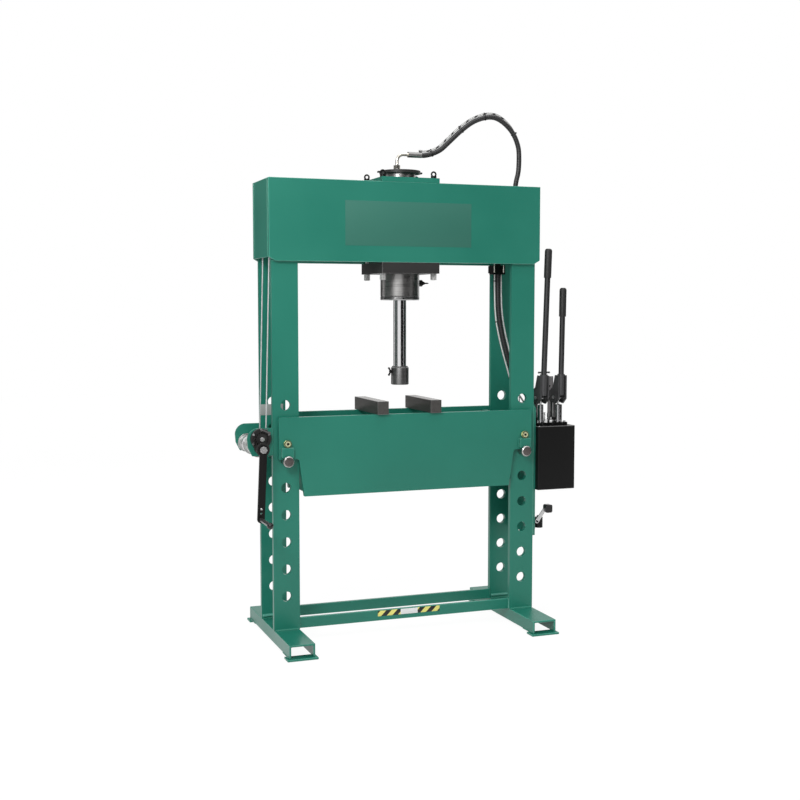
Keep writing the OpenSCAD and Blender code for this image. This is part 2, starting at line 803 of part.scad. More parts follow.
// Cross walls between the plates, each with a lifting arm between the uprights
module bed_spacer(side, rope_y, arm_y0, arm_y1) {
    wall_x = [spacer_x - spacer_t, spacer_x];
    color(GREEN) difference() {
        union() {
            block([min(side * wall_x), -bed_y0, bed_z0 + spacer_gap],
                [max(side * wall_x), bed_y0, bed_top - spacer_gap]);
            block([min(side * [spacer_x - 1, arm_x]), arm_y0, arm_z0],
                [max(side * [spacer_x - 1, arm_x]), arm_y1, arm_z1]);
        }
        bar_along_z(side * hole_x, rope_y, arm_z0 - 1, arm_z1 + 1, rope_end_d / 2 + fit);
    }
}

module bed_spacers() {
    bed_spacer(-1, rope_left_y, rope_left_y - arm_half_w, rope_left_y + arm_half_w);
    bed_spacer(1, -rope_right_y, -rope_right_y - arm_margin, -rope_right_y + 25);
}

module pin_saddles() {
    z0 = pin_z + pin_d / 2 + seat_gap;
    color(GREEN) front_and_back() left_and_right()
        plate_xz(-saddle_y, -bed_y1) difference() {
            translate([hole_x - saddle_w / 2, z0 - 6]) square([saddle_w, saddle_h + 6]);
            translate([hole_x, pin_z]) circle(pin_d / 2 + seat_gap);
        }
}

module ear_bolts() {
    head_h = ear_bolt_d * 0.62;
    color(ZINC) front_and_back() left_and_right()
        translate([hole_x, -bed_y1, pin_z + ear_bolt_rise]) rotate([90, 0, 0]) {
            translate([0, 0, 2.5]) rotate([0, 0, 18]) hexagon(ear_bolt_d * 1.5, head_h);
            cylinder(h = 2.5, r = ear_bolt_d * 0.95);
            translate([0, 0, -bed_plate_t + 2]) cylinder(h = bed_plate_t, r = ear_bolt_d / 2);
        }
}

// Threaded terminals on the ropes, through the lifting arms
module rope_ends() {
    nut_h = 10;
    color(STEEL) for (p = [[-hole_x, rope_left_y], [hole_x, -rope_right_y]]) {
        bar_along_z(p[0], p[1], arm_z0 - 24, rope_bottom_z, rope_end_d / 2);
        for (z = [arm_z0 - nut_h, arm_z1])
            translate([p[0], p[1], z]) rotate([0, 0, 30]) hexagon(rope_end_d, nut_h);
    }
}

module arbor_bars() {
    y0 = -bar_len / 2 + 3.5;
    color(DARK_STEEL) for (x = [-bar_left_x, bar_right_x])
        block([x - bar_w / 2, y0, bed_top], [x + bar_w / 2, y0 + bar_len, bed_top + bar_h]);
}

// Turned pin with a chamfered head in front
module bed_pin(side) {
    r = pin_d / 2;
    head_r = pin_head_d / 2;
    len = pin_y1 - pin_y0;
    c = pin_chamfer;
    color(STEEL) translate([side * hole_x, pin_y0, pin_z]) rotate([-90, 0, 0]) rotate_extrude() polygon([
        [0, 0], [head_r - c, 0], [head_r, c], [head_r, pin_head_t], [r, pin_head_t],
        [r, len - c], [r - c, len], [0, len]
    ]);
}

module pin_left() { bed_pin(-1); }
module pin_right() { bed_pin(1); }

// ---- Bed ropes ----

module sheave_profile() {
    polygon([
        [sheave_shaft_d / 2 + fit, -sheave_w / 2], [sheave_flange_r, -sheave_w / 2],
        [sheave_flange_r, -sheave_w / 2 + 2], [sheave_r - rope_r - seat_gap, -rope_r - 0.2],
        [sheave_r - rope_r - seat_gap, rope_r + 0.2], [sheave_flange_r, sheave_w / 2 - 2],
        [sheave_flange_r, sheave_w / 2], [sheave_shaft_d / 2 + fit, sheave_w / 2]
    ]);
}

module sheave(x, y) {
    color(STEEL) translate([x, y, sheave_z]) rotate([-90, 0, 0]) rotate_extrude() sheave_profile();
}

module sheaves_left() {
    sheave(left_sheave_x, rope_left_y);
    sheave(left_sheave_x, -rope_right_y);
}

module sheave_right() { sheave(right_sheave_x, -rope_right_y); }

// Shafts through the uprights, with a collar on each side of each sheave
module sheave_shafts() {
    shaft_y = plate_y - seat_gap;
    collar = sheave_w / 2 + seat_gap;
    front_collar = rope_right_y + collar;
    color(DARK_STEEL) for (x = [left_sheave_x, right_sheave_x]) {
        bar_along_y(x, sheave_z, -shaft_y, shaft_y, sheave_shaft_d / 2);
        bar_along_y(x, sheave_z, -upright_y0 + 0.1, -front_collar, sheave_shaft_d / 2 + 5);
        bar_along_y(x, sheave_z, -rope_right_y + collar, -rope_right_y + collar + 6, sheave_shaft_d / 2 + 5);
    }
    color(DARK_STEEL) for (y = [rope_left_y - collar - 6, rope_left_y + collar])
        bar_along_y(left_sheave_x, sheave_z, y, y + 6, sheave_shaft_d / 2 + 5);
}

// Arc of rope in the XZ plane about (x, z), from angle a0 to a1
module rope_arc(x, y, z, radius, a0, a1, r = rope_r) {
    translate([x, y, z]) rotate([90, 0, 0]) rotate([0, 0, a0])
        rotate_extrude(angle = a1 - a0) translate([radius, 0]) circle(r, $fn = 16);
}

// Turns on the drum and the run up to the left sheaves; side is the way the turns lie
module rope_rise(y, side) {
    for (turn = [1 : rope_turns - 1])
        translate([drum_x, y + side * turn * rope_pitch, winch_z]) rotate([90, 0, 0])
            rotate_extrude() translate([drum_rope_r, 0]) circle(rope_r, $fn = 16);
    rope_arc(drum_x, y, winch_z, drum_rope_r, -run_lean - 270, -run_lean);
    translate([drum_x, y, winch_z]) rotate([0, run_lean, 0]) translate([drum_rope_r, 0, 0])
        cylinder(h = run_len + run_in, r = rope_r, $fn = 16);
}

module lift_ropes() {
    color(STEEL) {
        rope_rise(rope_left_y, 1);
        rope_arc(left_sheave_x, rope_left_y, sheave_z, sheave_r, 0, 180 - run_lean, wrap_r);
        rope_rise(-rope_right_y, 1);
        rope_arc(left_sheave_x, -rope_right_y, sheave_z, sheave_r, 90, 180 - run_lean, wrap_r);
        bar_along_x(-rope_right_y, sheave_z + sheave_r, left_sheave_x - run_in,
            right_sheave_x + run_in, rope_r);
        rope_arc(right_sheave_x, -rope_right_y, sheave_z, sheave_r, 0, 90, wrap_r);
    }
}

module rope_drops() {
    color(STEEL) {
        bar_along_z(-hole_x, rope_left_y, rope_bottom_z, sheave_z, rope_r);
        bar_along_z(hole_x, -rope_right_y, rope_bottom_z, sheave_z, rope_r);
    }
}

// ---- Winch ----

module winch_plate(y0, y1) {
    left = drum_x - 48.6;
    top = winch_z + 79.6;
    corner_r = 45;
    color(GREEN) difference() {
        plate_xz(y0, y1) {
            polygon([
                [-upright_x1, top], [left + corner_r, top], [left, top - corner_r],
                [left + 2.5, winch_z + 2], [drum_x - 28, winch_z - 33], [-upright_x1, winch_z - 33]
            ]);
            translate([left + corner_r, top - corner_r]) circle(corner_r);
        }
        bar_along_y(drum_x, winch_z, y0 - 1, y1 + 1, drum_shaft_d / 2 + fit);
    }
}

module winch_front_plate() { winch_plate(-winch_y1, -winch_y0); }
module winch_rear_plate() { winch_plate(winch_y0, winch_y1); }

module brake_housing() {
    top = [drum_x + brake_dx, winch_z + brake_dz];
    foot_r = 22;
    color(BLACK) difference() {
        union() {
            plate_xz(brake_y0, brake_y1) {
                translate(top) circle(brake_r);
                translate([drum_x, winch_z]) circle(foot_r);
                polygon([
                    top + [-brake_r * cos(10), -brake_r * sin(10)], [drum_x - foot_r, winch_z],
                    [drum_x + foot_r, winch_z], top + [brake_r * cos(10), -brake_r * sin(10)]
                ]);
            }
            bar_along_y(top[0], top[1], brake_y0 - 4, brake_y0 + 1, 16);
        }
        bar_along_y(drum_x, winch_z, brake_y0 - 1, brake_y1 + 1, drum_shaft_d / 2 + 2);
        for (a = [30 : 60 : 210])
            bar_along_y(top[0] + 29 * cos(a), top[1] + 29 * sin(a), brake_y0 - 1, brake_y0 + 5, 5);
    }
}

module winch_drum() {
    color(STEEL) {
        bar_along_y(drum_x, winch_z, -drum_y1, drum_y1, drum_r);
        for (y = [-drum_y1, 0, drum_y1 - drum_wall])
            bar_along_y(drum_x, winch_z, y, y + drum_wall, drum_flange_r);
        bar_along_y(drum_x, winch_z, crank_y1 - eps, winch_y1 + 8, drum_shaft_d / 2);
        bar_along_y(drum_x, winch_z, winch_y1 + 3, winch_y1 + 6, drum_shaft_d / 2 + 4);
    }
}

// Crank arm in its own direction, hanging from the drum's axis
module crank_frame() {
    translate([drum_x, 0, winch_z]) rotate([0, crank_lean, 0]) children();
}

module crank() {
    hub_len = 16;
    grip_y = crank_y0 - grip_len + 10;
    color(BLACK) crank_frame() difference() {
        union() {
            plate_xz(crank_y0, crank_y1) {
                translate([-crank_w / 2, -crank_len]) square([crank_w, crank_len]);
                circle(crank_hub_r);
                translate([0, -crank_len]) circle(crank_w / 2);
            }
            bar_along_y(0, 0, crank_y1, crank_y1 + hub_len, crank_hub_r);
        }
        bar_along_y(0, 0, crank_y1, crank_y1 + hub_len + 1, drum_shaft_d / 2 + fit);
        for (k = [-1, 0]) bar_along_y(0, -crank_len + 42 + k * 18, crank_y0 - 1, crank_y1 + 1, 4);
    }
    color(STEEL) crank_frame() {
        translate([0, crank_y0, 0]) rotate([90, 0, 0]) hexagon(2 * crank_bolt_r * 0.9, 9);
        bar_along_y(0, 0, crank_y0 - 2.5, crank_y0, crank_bolt_r);
        bar_along_y(0, -crank_len, grip_y, crank_y0, grip_pin_d / 2);
    }
}

// Turned grip that spins on the crank's pin
module crank_grip() {
    r = grip_d / 2;
    ball_r = ball_d / 2;
    bore_r = grip_pin_d / 2 + fit;
    ball_h = sqrt(ball_r ^ 2 - r ^ 2);
    color(BLACK) crank_frame() translate([0, crank_y0 - seat_gap, -crank_len]) rotate([90, 0, 0])
        difference() {
            union() {
                cylinder(h = grip_len, r = r);
                translate([0, 0, grip_len + ball_h - 2]) sphere(ball_r);
            }
            translate([0, 0, -1]) cylinder(h = grip_len - 8, r = bore_r);
        }
}

// ---- Pump ----

module pump_plate() {
    color(GREEN) plate_yz(upright_x1, pump_x0) polygon([
        [-plate_y + 1, pump_plate_z0], [plate_y - 1, pump_plate_z0],
        [plate_y - 1, pump_plate_z1], [-plate_y + 16, pump_plate_z1], [-plate_y + 1, pump_plate_z1 - 15]
    ]);
}

module tank() {
    lo = [pump_x0, tank_y0];
    hi = [pump_x0 + tank_w, tank_y1];
    w = tank_wall;
    color(BLACK) difference() {
        translate([0, 0, tank_z]) linear_extrude(tank_h) round_rect(lo, hi, tank_corner_r);
        translate([0, 0, tank_z + w]) linear_extrude(tank_h - 2 * w)
            round_rect(lo + [w, w], hi - [w, w], max(1, tank_corner_r - w));
        for (x = [pump_left_x, pump_right_x])
            bar_along_z(x, -plunger_y, tank_z1 - w - 1, tank_z1 + 1, pump_barrel_r(plunger_right_d) + 0.5);
    }
}

function pump_barrel_r(plunger_d) = plunger_d / 2 + 8;

// Base plate with two barrels, glands, pivot posts and hose ports
module pump_base() {
    color(BLACK) difference() {
        union() {
            block([base_x0, base_y0, tank_z1], [base_x1, base_y1, base_z1]);
            pump_barrel(pump_left_x, plunger_left_d);
            pump_barrel(pump_right_x, plunger_right_d);
            for (p = [hose_port, tube_port]) {
                bar_along_z(p[0], p[1], base_z1 - 1, base_z1 + port_rise, p == hose_port ? 9 : 4);
                translate([p[0], p[1], base_z1]) hexagon(p == hose_port ? 27 : 14, 18);
            }
        }
        bar_along_z(pump_left_x, -plunger_y, tank_z1 - barrel_depth, base_z1 + gland_rise + 1,
            plunger_left_d / 2 + fit);
        bar_along_z(pump_right_x, -plunger_y, tank_z1 - barrel_depth, base_z1 + gland_rise + 1,
            plunger_right_d / 2 + fit);
    }
    color(STEEL) for (x = [pump_left_x, pump_right_x]) {
        bar_along_z(x, pivot_y, base_z1 - eps, pivot_z, post_d / 2);
        bar_along_x(pivot_y, pivot_z, x - eye_w / 2, x + eye_w / 2, pivot_pin_d / 2 + 4);
        bar_along_x(pivot_y, pivot_z, x - pin_half, x + pin_half, pivot_pin_d / 2);
    }
}

pin_half = cheek_gap / 2 + cheek_t + 3;

module pump_barrel(x, plunger_d) {
    r = pump_barrel_r(plunger_d);
    bar_along_z(x, -plunger_y, tank_z1 - barrel_depth - 8, tank_z1 + 1, r);
    bar_along_z(x, -plunger_y, base_z1 - 1, base_z1 + gland_rise, r);
}

// Plunger with an eye between the lever's cheeks and a cross pin through it
module plunger(x, d) {
    eye_r = plunger_pin_d / 2 + 5;
    color(STEEL) {
        bar_along_z(x, -plunger_y, tank_z1 - barrel_depth + 16, pivot_z - eye_r + 2, d / 2);
        bar_along_x(-plunger_y, pivot_z, x - eye_w / 2, x + eye_w / 2, eye_r);
        bar_along_x(-plunger_y, pivot_z, x - pin_half, x + pin_half, plunger_pin_d / 2);
    }
}

module plunger_left() { plunger(pump_left_x, plunger_left_d); }
module plunger_right() { plunger(pump_right_x, plunger_right_d); }

// Side plate of a lever's fork, as an outline about its pivot
module cheek_outline() {
    difference() {
        polygon([
            [-socket_reach - 17, 100], [-socket_reach + 17, 100], [14, 46], [lever_arm + 12, 20],
            [lever_arm + slot_run + 12, 10], [lever_arm + slot_run + 12, -12],
            [lever_arm - 6, -18], [-12, -26], [-socket_reach - 17, -4]
        ]);
        circle(pivot_pin_d / 2 + fit);
        slot_2d_at(lever_arm, lever_arm + slot_run, plunger_pin_d / 2 + slot_play);
    }
}

module slot_2d_at(x0, x1, r) {
    slot_2d(x0, x1, r);
}

// Fork of two cheeks and a socket, with the lever's rod in it
module lever(x, rod_dia, tip_h, lean, grip_gap) {
    socket_r = rod_dia / 2 + socket_wall;
    translate([x, pivot_y, pivot_z]) {
        color(BLACK) difference() {
            union() {
                for (s = [-1, 1])
                    plate_yz(min(s * [cheek_gap / 2, cheek_gap / 2 + cheek_t]),
                        max(s * [cheek_gap / 2, cheek_gap / 2 + cheek_t])) cheek_outline();
                lever_axis(lean) bar_along_z(0, 0, socket_z0, socket_z1, socket_r);
            }
            lever_axis(lean) bar_along_z(0, 0, rod_seat, socket_z1 + 1, rod_dia / 2 + fit);
        }
        color(DARK_STEEL) lever_axis(lean)
            bar_along_z(0, 0, rod_seat, tip_h - lever_grip_wall - grip_gap, rod_dia / 2);
    }
}

// Frame of a lever's rod: in front of the pivot, leaning forward
module lever_axis(lean) {
    translate([0, -socket_reach, 0]) rotate([lean, 0, 0]) children();
}

module lever_left() {
    lever(pump_left_x, lever_left_d, lever_left_h, lever_left_lean, seat_gap);
    color(BLACK) translate([pump_left_x, pivot_y, pivot_z]) lever_axis(lever_left_lean)
        bar_along_x(0, socket_z1 + 9, -catch_half, catch_half, 4);
}

module lever_right() {
    lever(pump_right_x, lever_right_d, lever_right_h, lever_right_lean, seat_gap);
}

module lever_grip(x, rod_dia, tip_h, lean) {
    r = rod_dia / 2 + lever_grip_wall;
    color(BLACK) translate([x, pivot_y, pivot_z]) lever_axis(lean)
        translate([0, 0, tip_h]) rotate_extrude() polygon([
            [rod_dia / 2 + fit, -lever_grip_len], [r, -lever_grip_len], [r, -10], [r - 1.5, -5],
            [r - 4, -2], [r - 8, 0], [0, 0], [0, -lever_grip_wall], [rod_dia / 2 + fit, -lever_grip_wall]
        ]);
}

module lever_left_grip() { lever_grip(pump_left_x, lever_left_d, lever_left_h, lever_left_lean); }
module lever_right_grip() { lever_grip(pump_right_x, lever_right_d, lever_right_h, lever_right_lean); }

// Filler and breather between the pumps
module tank_breather() {
    x = (pump_left_x + pump_right_x) / 2 + 12;
    y = -plunger_y - 22;
    color(DARK_STEEL) translate([x, y, base_z1]) {
        cylinder(h = 18, r = 6);
        translate([0, 0, 10]) cylinder(h = 5, r = 9);
        translate([0, 0, 18]) cylinder(h = 20, r = 8.5);
    }
}

// Bare plate on a flat post behind the right pump
module label_plate() {
    x1 = pump_right_x + 44;
    y = 66;
    color(STEEL) {
        block([x1 - 62, y, pivot_z - 26], [x1, y + 3, pivot_z + 86]);
        block([x1 - 26, y + 3, tank_z1], [x1 - 12, y + 6, pivot_z + 60]);
    }
}

// Release valve on the mounting plate
module valve_body() {
    x = pump_x0 + 27;
    y = -plate_y + 18;
    z = valve_z;
    color(BLACK) {
        bar_along_z(x, y, z - 31, z + 15, 17);
        bar_along_x(y, z - 8, pump_x0, x, 9);
        bar_along_z(x, y, z + 14, z + 22, 9);
        bar_along_y(pump_x0 + 7, z, y - 28, y, 4);
        block([pump_x0, y - 6, z - 16], [x, y + 6, z + 6]);
    }
}

// Flat lever with a black knob, hinged in front of the valve
module release_lever() {
    x = pump_x0 + 7;
    z = valve_z;
    y1 = -plate_y - 1;
    tip = [pump_x0 + 48, z + 55];
    color(STEEL) plate_xz(y1 - 4, y1) difference() {
        union() {
            translate([x, z]) circle(9);
            polygon([[x - 5, z + 8], [x + 7, z - 6], tip + [2, -8], tip + [-8, 4]]);
        }
        translate([x, z]) circle(4 + fit);
    }
    color(BLACK) {
        plate_xz(y1 - 16, y1 + 12) difference() {
            translate(tip + [-4, -18]) round_rect([0, 0], [32, 35], 7);
            translate(tip + [-40, -60]) square([20, 30]);
        }
    }
}

// ---- Hoses ----

// Clamp block at the header's lower edge, with an arm from the rear upright
module hose_clamp() {
    arm_drop_z = 8;
    bolt_x = [hose_drop_x + 18, tube_drop_x - 10.5];
    color(BLACK) difference() {
        union() {
            block([upright_x0 - 36, clamp_y - 20, clamp_z0], [upright_x0 + 23, clamp_y + 20, clamp_z1]);
            block([upright_x0 - 8, clamp_y + 19, clamp_z0 + arm_drop_z], [upright_x0, plate_y - 2, clamp_z1]);
        }
        bar_along_z(hose_drop_x, clamp_y, clamp_z0 - 1, clamp_z1 + 1, hose_d / 2 + 1);
        bar_along_z(tube_drop_x, clamp_y, clamp_z0 - 1, clamp_z1 + 1, tube_d / 2 + 1);
        for (x = bolt_x) block([x - 2, clamp_y - 21, clamp_z0 + 6], [x + 2, clamp_y - 12, clamp_z1 + 1]);
    }
}

function unit(v) = v / norm(v);

// Direction of a route at point i
function tangent(route, i) = unit(route[min(i + 1, len(route) - 1)] - route[max(i - 1, 0)]);

// Ring of points around a route's point; Y stays one side's reference
function ring(route, i, r, sides) =
    let (t = tangent(route, i), a = unit(cross([0, 1, 0], t)), b = cross(t, a))
    [for (k = [0 : sides - 1])
        route[i] + r * (cos(360 * k / sides) * a + sin(360 * k / sides) * b)];

// Closed tube swept along a route
module hose(route, d, sides) {
    n = len(route);
    points = [for (i = [0 : n - 1]) each ring(route, i, d / 2, sides)];
    walls = [for (i = [0 : n - 2], k = [0 : sides - 1])
        [i * sides + k, i * sides + (k + 1) % sides, (i + 1) * sides + (k + 1) % sides, (i + 1) * sides + k]];
    first = [for (k = [sides - 1 : -1 : 0]) k];
    last = [for (k = [0 : sides - 1]) (n - 1) * sides + k];
    polyhedron(points = points, faces = concat(walls, [first, last]), convexity = 10);
}

module hose_main() { color(BLACK) hose(hose_route, hose_d, 10); }
module hose_tube() { color(STEEL) hose(tube_route, tube_d, 8); }

// ---- Assembly ----

header_front();
header_rear();
header_ends();
upright_front_left();
upright_front_right();
upright_rear_left();
upright_rear_right();
foot_left();
foot_right();
foot_pads();
crossbar_front();
crossbar_rear();
cylinder_flange();
cylinder_barrel();
gland_ring();
top_plate();
head_cap();
clamp_studs();
eye_nuts();
hose_elbow();
bleed_fitting();
hose_clamp();
hose_main();
hose_tube();
sheave_shafts();
sheaves_left();
sheave_right();
lift_ropes();
rope_drops();
ram_rod();
nose();
nose_screw();
bed_front();
bed_rear();
bed_spacers();
pin_saddles();
ear_bolts();
rope_ends();
arbor_bars();
pin_left();
pin_right();
winch_front_plate();
winch_rear_plate();
brake_housing();
winch_drum();
crank();
crank_grip();
pump_plate();
tank();
pump_base();
tank_breather();
label_plate();
plunger_left();
plunger_right();
lever_left();
lever_right();
lever_left_grip();
lever_right_grip();
valve_body();
release_lever();
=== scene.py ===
"""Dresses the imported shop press: enamel, steel, wire ropes, hoses and a plain studio."""
import json
import logging
import math
from dataclasses import dataclass
from enum import Enum
from typing import Dict, List, Optional, Sequence, Tuple, Union

import bmesh
import bpy
from mathutils import Matrix, Vector

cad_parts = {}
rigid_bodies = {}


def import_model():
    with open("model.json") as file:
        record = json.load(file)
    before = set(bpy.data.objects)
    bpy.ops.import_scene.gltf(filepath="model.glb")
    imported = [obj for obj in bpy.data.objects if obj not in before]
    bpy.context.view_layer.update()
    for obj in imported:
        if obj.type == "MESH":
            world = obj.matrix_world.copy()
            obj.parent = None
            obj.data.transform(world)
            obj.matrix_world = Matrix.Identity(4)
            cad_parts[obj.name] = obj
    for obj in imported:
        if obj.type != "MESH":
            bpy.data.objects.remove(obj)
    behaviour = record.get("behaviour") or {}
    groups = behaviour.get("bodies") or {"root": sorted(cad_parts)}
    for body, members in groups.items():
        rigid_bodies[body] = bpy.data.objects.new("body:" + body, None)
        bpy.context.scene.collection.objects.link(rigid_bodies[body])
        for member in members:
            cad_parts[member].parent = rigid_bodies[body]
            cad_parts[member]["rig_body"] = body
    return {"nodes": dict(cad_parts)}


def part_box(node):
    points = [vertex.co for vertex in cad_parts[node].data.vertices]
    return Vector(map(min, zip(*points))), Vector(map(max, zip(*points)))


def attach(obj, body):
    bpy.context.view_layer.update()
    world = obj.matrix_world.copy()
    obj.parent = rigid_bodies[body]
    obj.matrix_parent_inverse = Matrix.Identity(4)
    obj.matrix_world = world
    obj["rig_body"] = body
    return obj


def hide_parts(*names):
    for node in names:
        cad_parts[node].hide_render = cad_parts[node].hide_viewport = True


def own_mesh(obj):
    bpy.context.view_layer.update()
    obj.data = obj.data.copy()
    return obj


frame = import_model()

Point = Tuple[float, float, float]
Pair = Tuple[float, float]
Span = Union[float, Pair]
Colour = Tuple[float, float, float]
Node = bpy.types.Node
Socket = bpy.types.NodeSocket
Tree = bpy.types.ShaderNodeTree
Value = Union[Socket, float, Sequence[float]]
Inputs = Dict[Union[str, int], Value]

SIDES = (-1, 1)
CORNERS = tuple((x, y) for x in SIDES for y in SIDES)
WHITE = (1, 1, 1, 1)
log = logging.getLogger("shop_press")


class Axis(Enum):
    """The frame's axes, as unit directions."""

    X = (1.0, 0.0, 0.0)
    Y = (0.0, 1.0, 0.0)
    Z = (0.0, 0.0, 1.0)


class Grain(Enum):
    """How a metal's grain runs: stretched along X, Y or Z, or in rings about a vertical axis."""

    ALONG_X = (3.0, 180.0, 180.0)
    ALONG_Y = (180.0, 3.0, 180.0)
    ALONG_Z = (180.0, 180.0, 3.0)
    TURNED = (2.0, 2.0, 420.0)
    EVEN = (60.0, 60.0, 60.0)


class Plug(Enum):
    """The kinds of socket that the node groups use."""

    NUMBER = "NodeSocketFloat"
    VECTOR = "NodeSocketVector"
    COLOUR = "NodeSocketColor"


class Coat(Enum):
    """A finish, listed with the record's material slot; the slot is not given to the pieces here."""

    GREEN = ("green_enamel", "green_paint")
    WELD = ("weld_enamel_and_highlight", "green_paint")
    WELD_GLOSS_HIGHLIGHT = ("weld_gloss_and_highlight", "green_paint")
    PANEL = ("panel_enamel", "green_paint")
    TAPE = ("hazard_tape", "green_paint")
    PAINTED_WASHER = ("green_enamel", "bright_steel")
    BLACK = ("black_enamel", "black_paint")
    SATIN = ("black_satin", "black_paint")
    KNOB = ("black_knob", "black_paint")
    FORK = ("fork_steel", "black_paint")
    GRIP = ("black_grip", "black_grip")
    NYLON = ("tie_nylon", "black_grip")
    TURNED = ("turned_dark", "dark_steel")
    BARREL = ("barrel_steel", "dark_steel")
    MILLED = ("mill_dark", "dark_steel")
    BRIGHT = ("bright_steel", "bright_steel")
    POLISHED = ("polished_steel_and_edge_highlight", "bright_steel")
    ZINC = ("zinc_plate", "bright_steel")
    PALE_ZINC = ("pale_zinc", "bright_steel")
    WORN_ZINC = ("worn_zinc_and_edge_highlight", "bright_steel")
    PIN = ("pin_steel", "bright_steel")
    LABEL = ("label_metal", "bright_steel")
    ELBOW = ("pale_zinc", "yellow_zinc")
    YELLOW = ("yellow_zinc", "yellow_zinc")
    RIM_SHADE = ("bolt_rim_shade", "yellow_zinc")
    ROPE = ("wire_rope", "wire_rope")
    HOSE = ("hose_rubber", "hose_rubber")
    PALE_TUBE = ("pale_tube", "pale_tube")
    CLEAR_TUBE = ("clear_tube", "pale_tube")
    BARE_LABEL = ("grey_label", "pale_tube")


# ---- Shader nodes and shared effects ----


class Graph:
    """A shader tree with short ways to add and feed its nodes."""

    def __init__(self, tree: Tree) -> None:
        """Keeps the tree."""
        self.tree = tree

    def feed(self, node: Node, inputs: Inputs) -> Node:
        """Feeds a node's inputs.

        Args:
            node: the node.
            inputs: a value or another node's output for each input, by its name or place.

        Returns:
            The node.
        """
        for key, value in inputs.items():
            if isinstance(value, Socket):
                self.tree.links.new(value, node.inputs[key])
            else:
                node.inputs[key].default_value = value
        return node

    def node(self, kind: str, inputs: Optional[Inputs] = None, **settings: object) -> Node:
        """Adds a node.

        Args:
            kind: its kind.
            inputs: what its inputs are fed with.
            settings: its own settings.

        Returns:
            The node.
        """
        node = self.tree.nodes.new("ShaderNode" + kind)
        for label, value in settings.items():
            setattr(node, label, value)
        return self.feed(node, inputs or {})

    def math(self, operation: str, *values: Value) -> Socket:
        """The result of a math node."""
        return self.node("Math", dict(enumerate(values)), operation=operation).outputs[0]

    def mix(self, share: Value, first: Value, second: Value) -> Socket:
        """The mix of two colours."""
        return self.node("Mix", {0: share, 6: first, 7: second}, data_type="RGBA").outputs[2]

    def graded(self, value: Socket, band: Pair, to: Pair = (0.0, 1.0)) -> Socket:
        """A value with one band of it stretched over another, and clamped there."""
        return self.node("MapRange", {"Value": value, "From Min": band[0], "From Max": band[1],
                                      "To Min": to[0], "To Max": to[1]}).outputs[0]

    def noise(self, vector: Socket, scale: float, detail: float, roughness: float = 0.5) -> Socket:
        """A noise of the given scale and detail."""
        return self.node("TexNoise", {"Vector": vector, "Scale": scale, "Detail": detail,
                                      "Roughness": roughness}).outputs[0]

    def looked_at(self) -> Socket:
        """Tells the rays that look at the press from the rays that only light it.

        Returns:
            A mask of 1 for the rays of the camera, of reflections and of clear pieces.
        """
        path = self.node("LightPath").outputs
        first = self.math("MAXIMUM", path["Is Camera Ray"], path["Is Glossy Ray"])
        return self.math("MAXIMUM", first, path["Is Transmission Ray"])

    def two_faced(self, share: Socket, shade: Node, seen: Node, end: str) -> None:
        """Sends one shader to the lighting and another to the eye.

        Args:
            share: how much of the second shows.
            shade: the shader that lights.
            seen: the shader that is looked at.
            end: the tree's output node.
        """
        mix = self.node("MixShader", {0: share, 1: shade.outputs[0], 2: seen.outputs[0]})
        self.feed(self.tree.nodes[end], {"Surface": mix.outputs[0]})


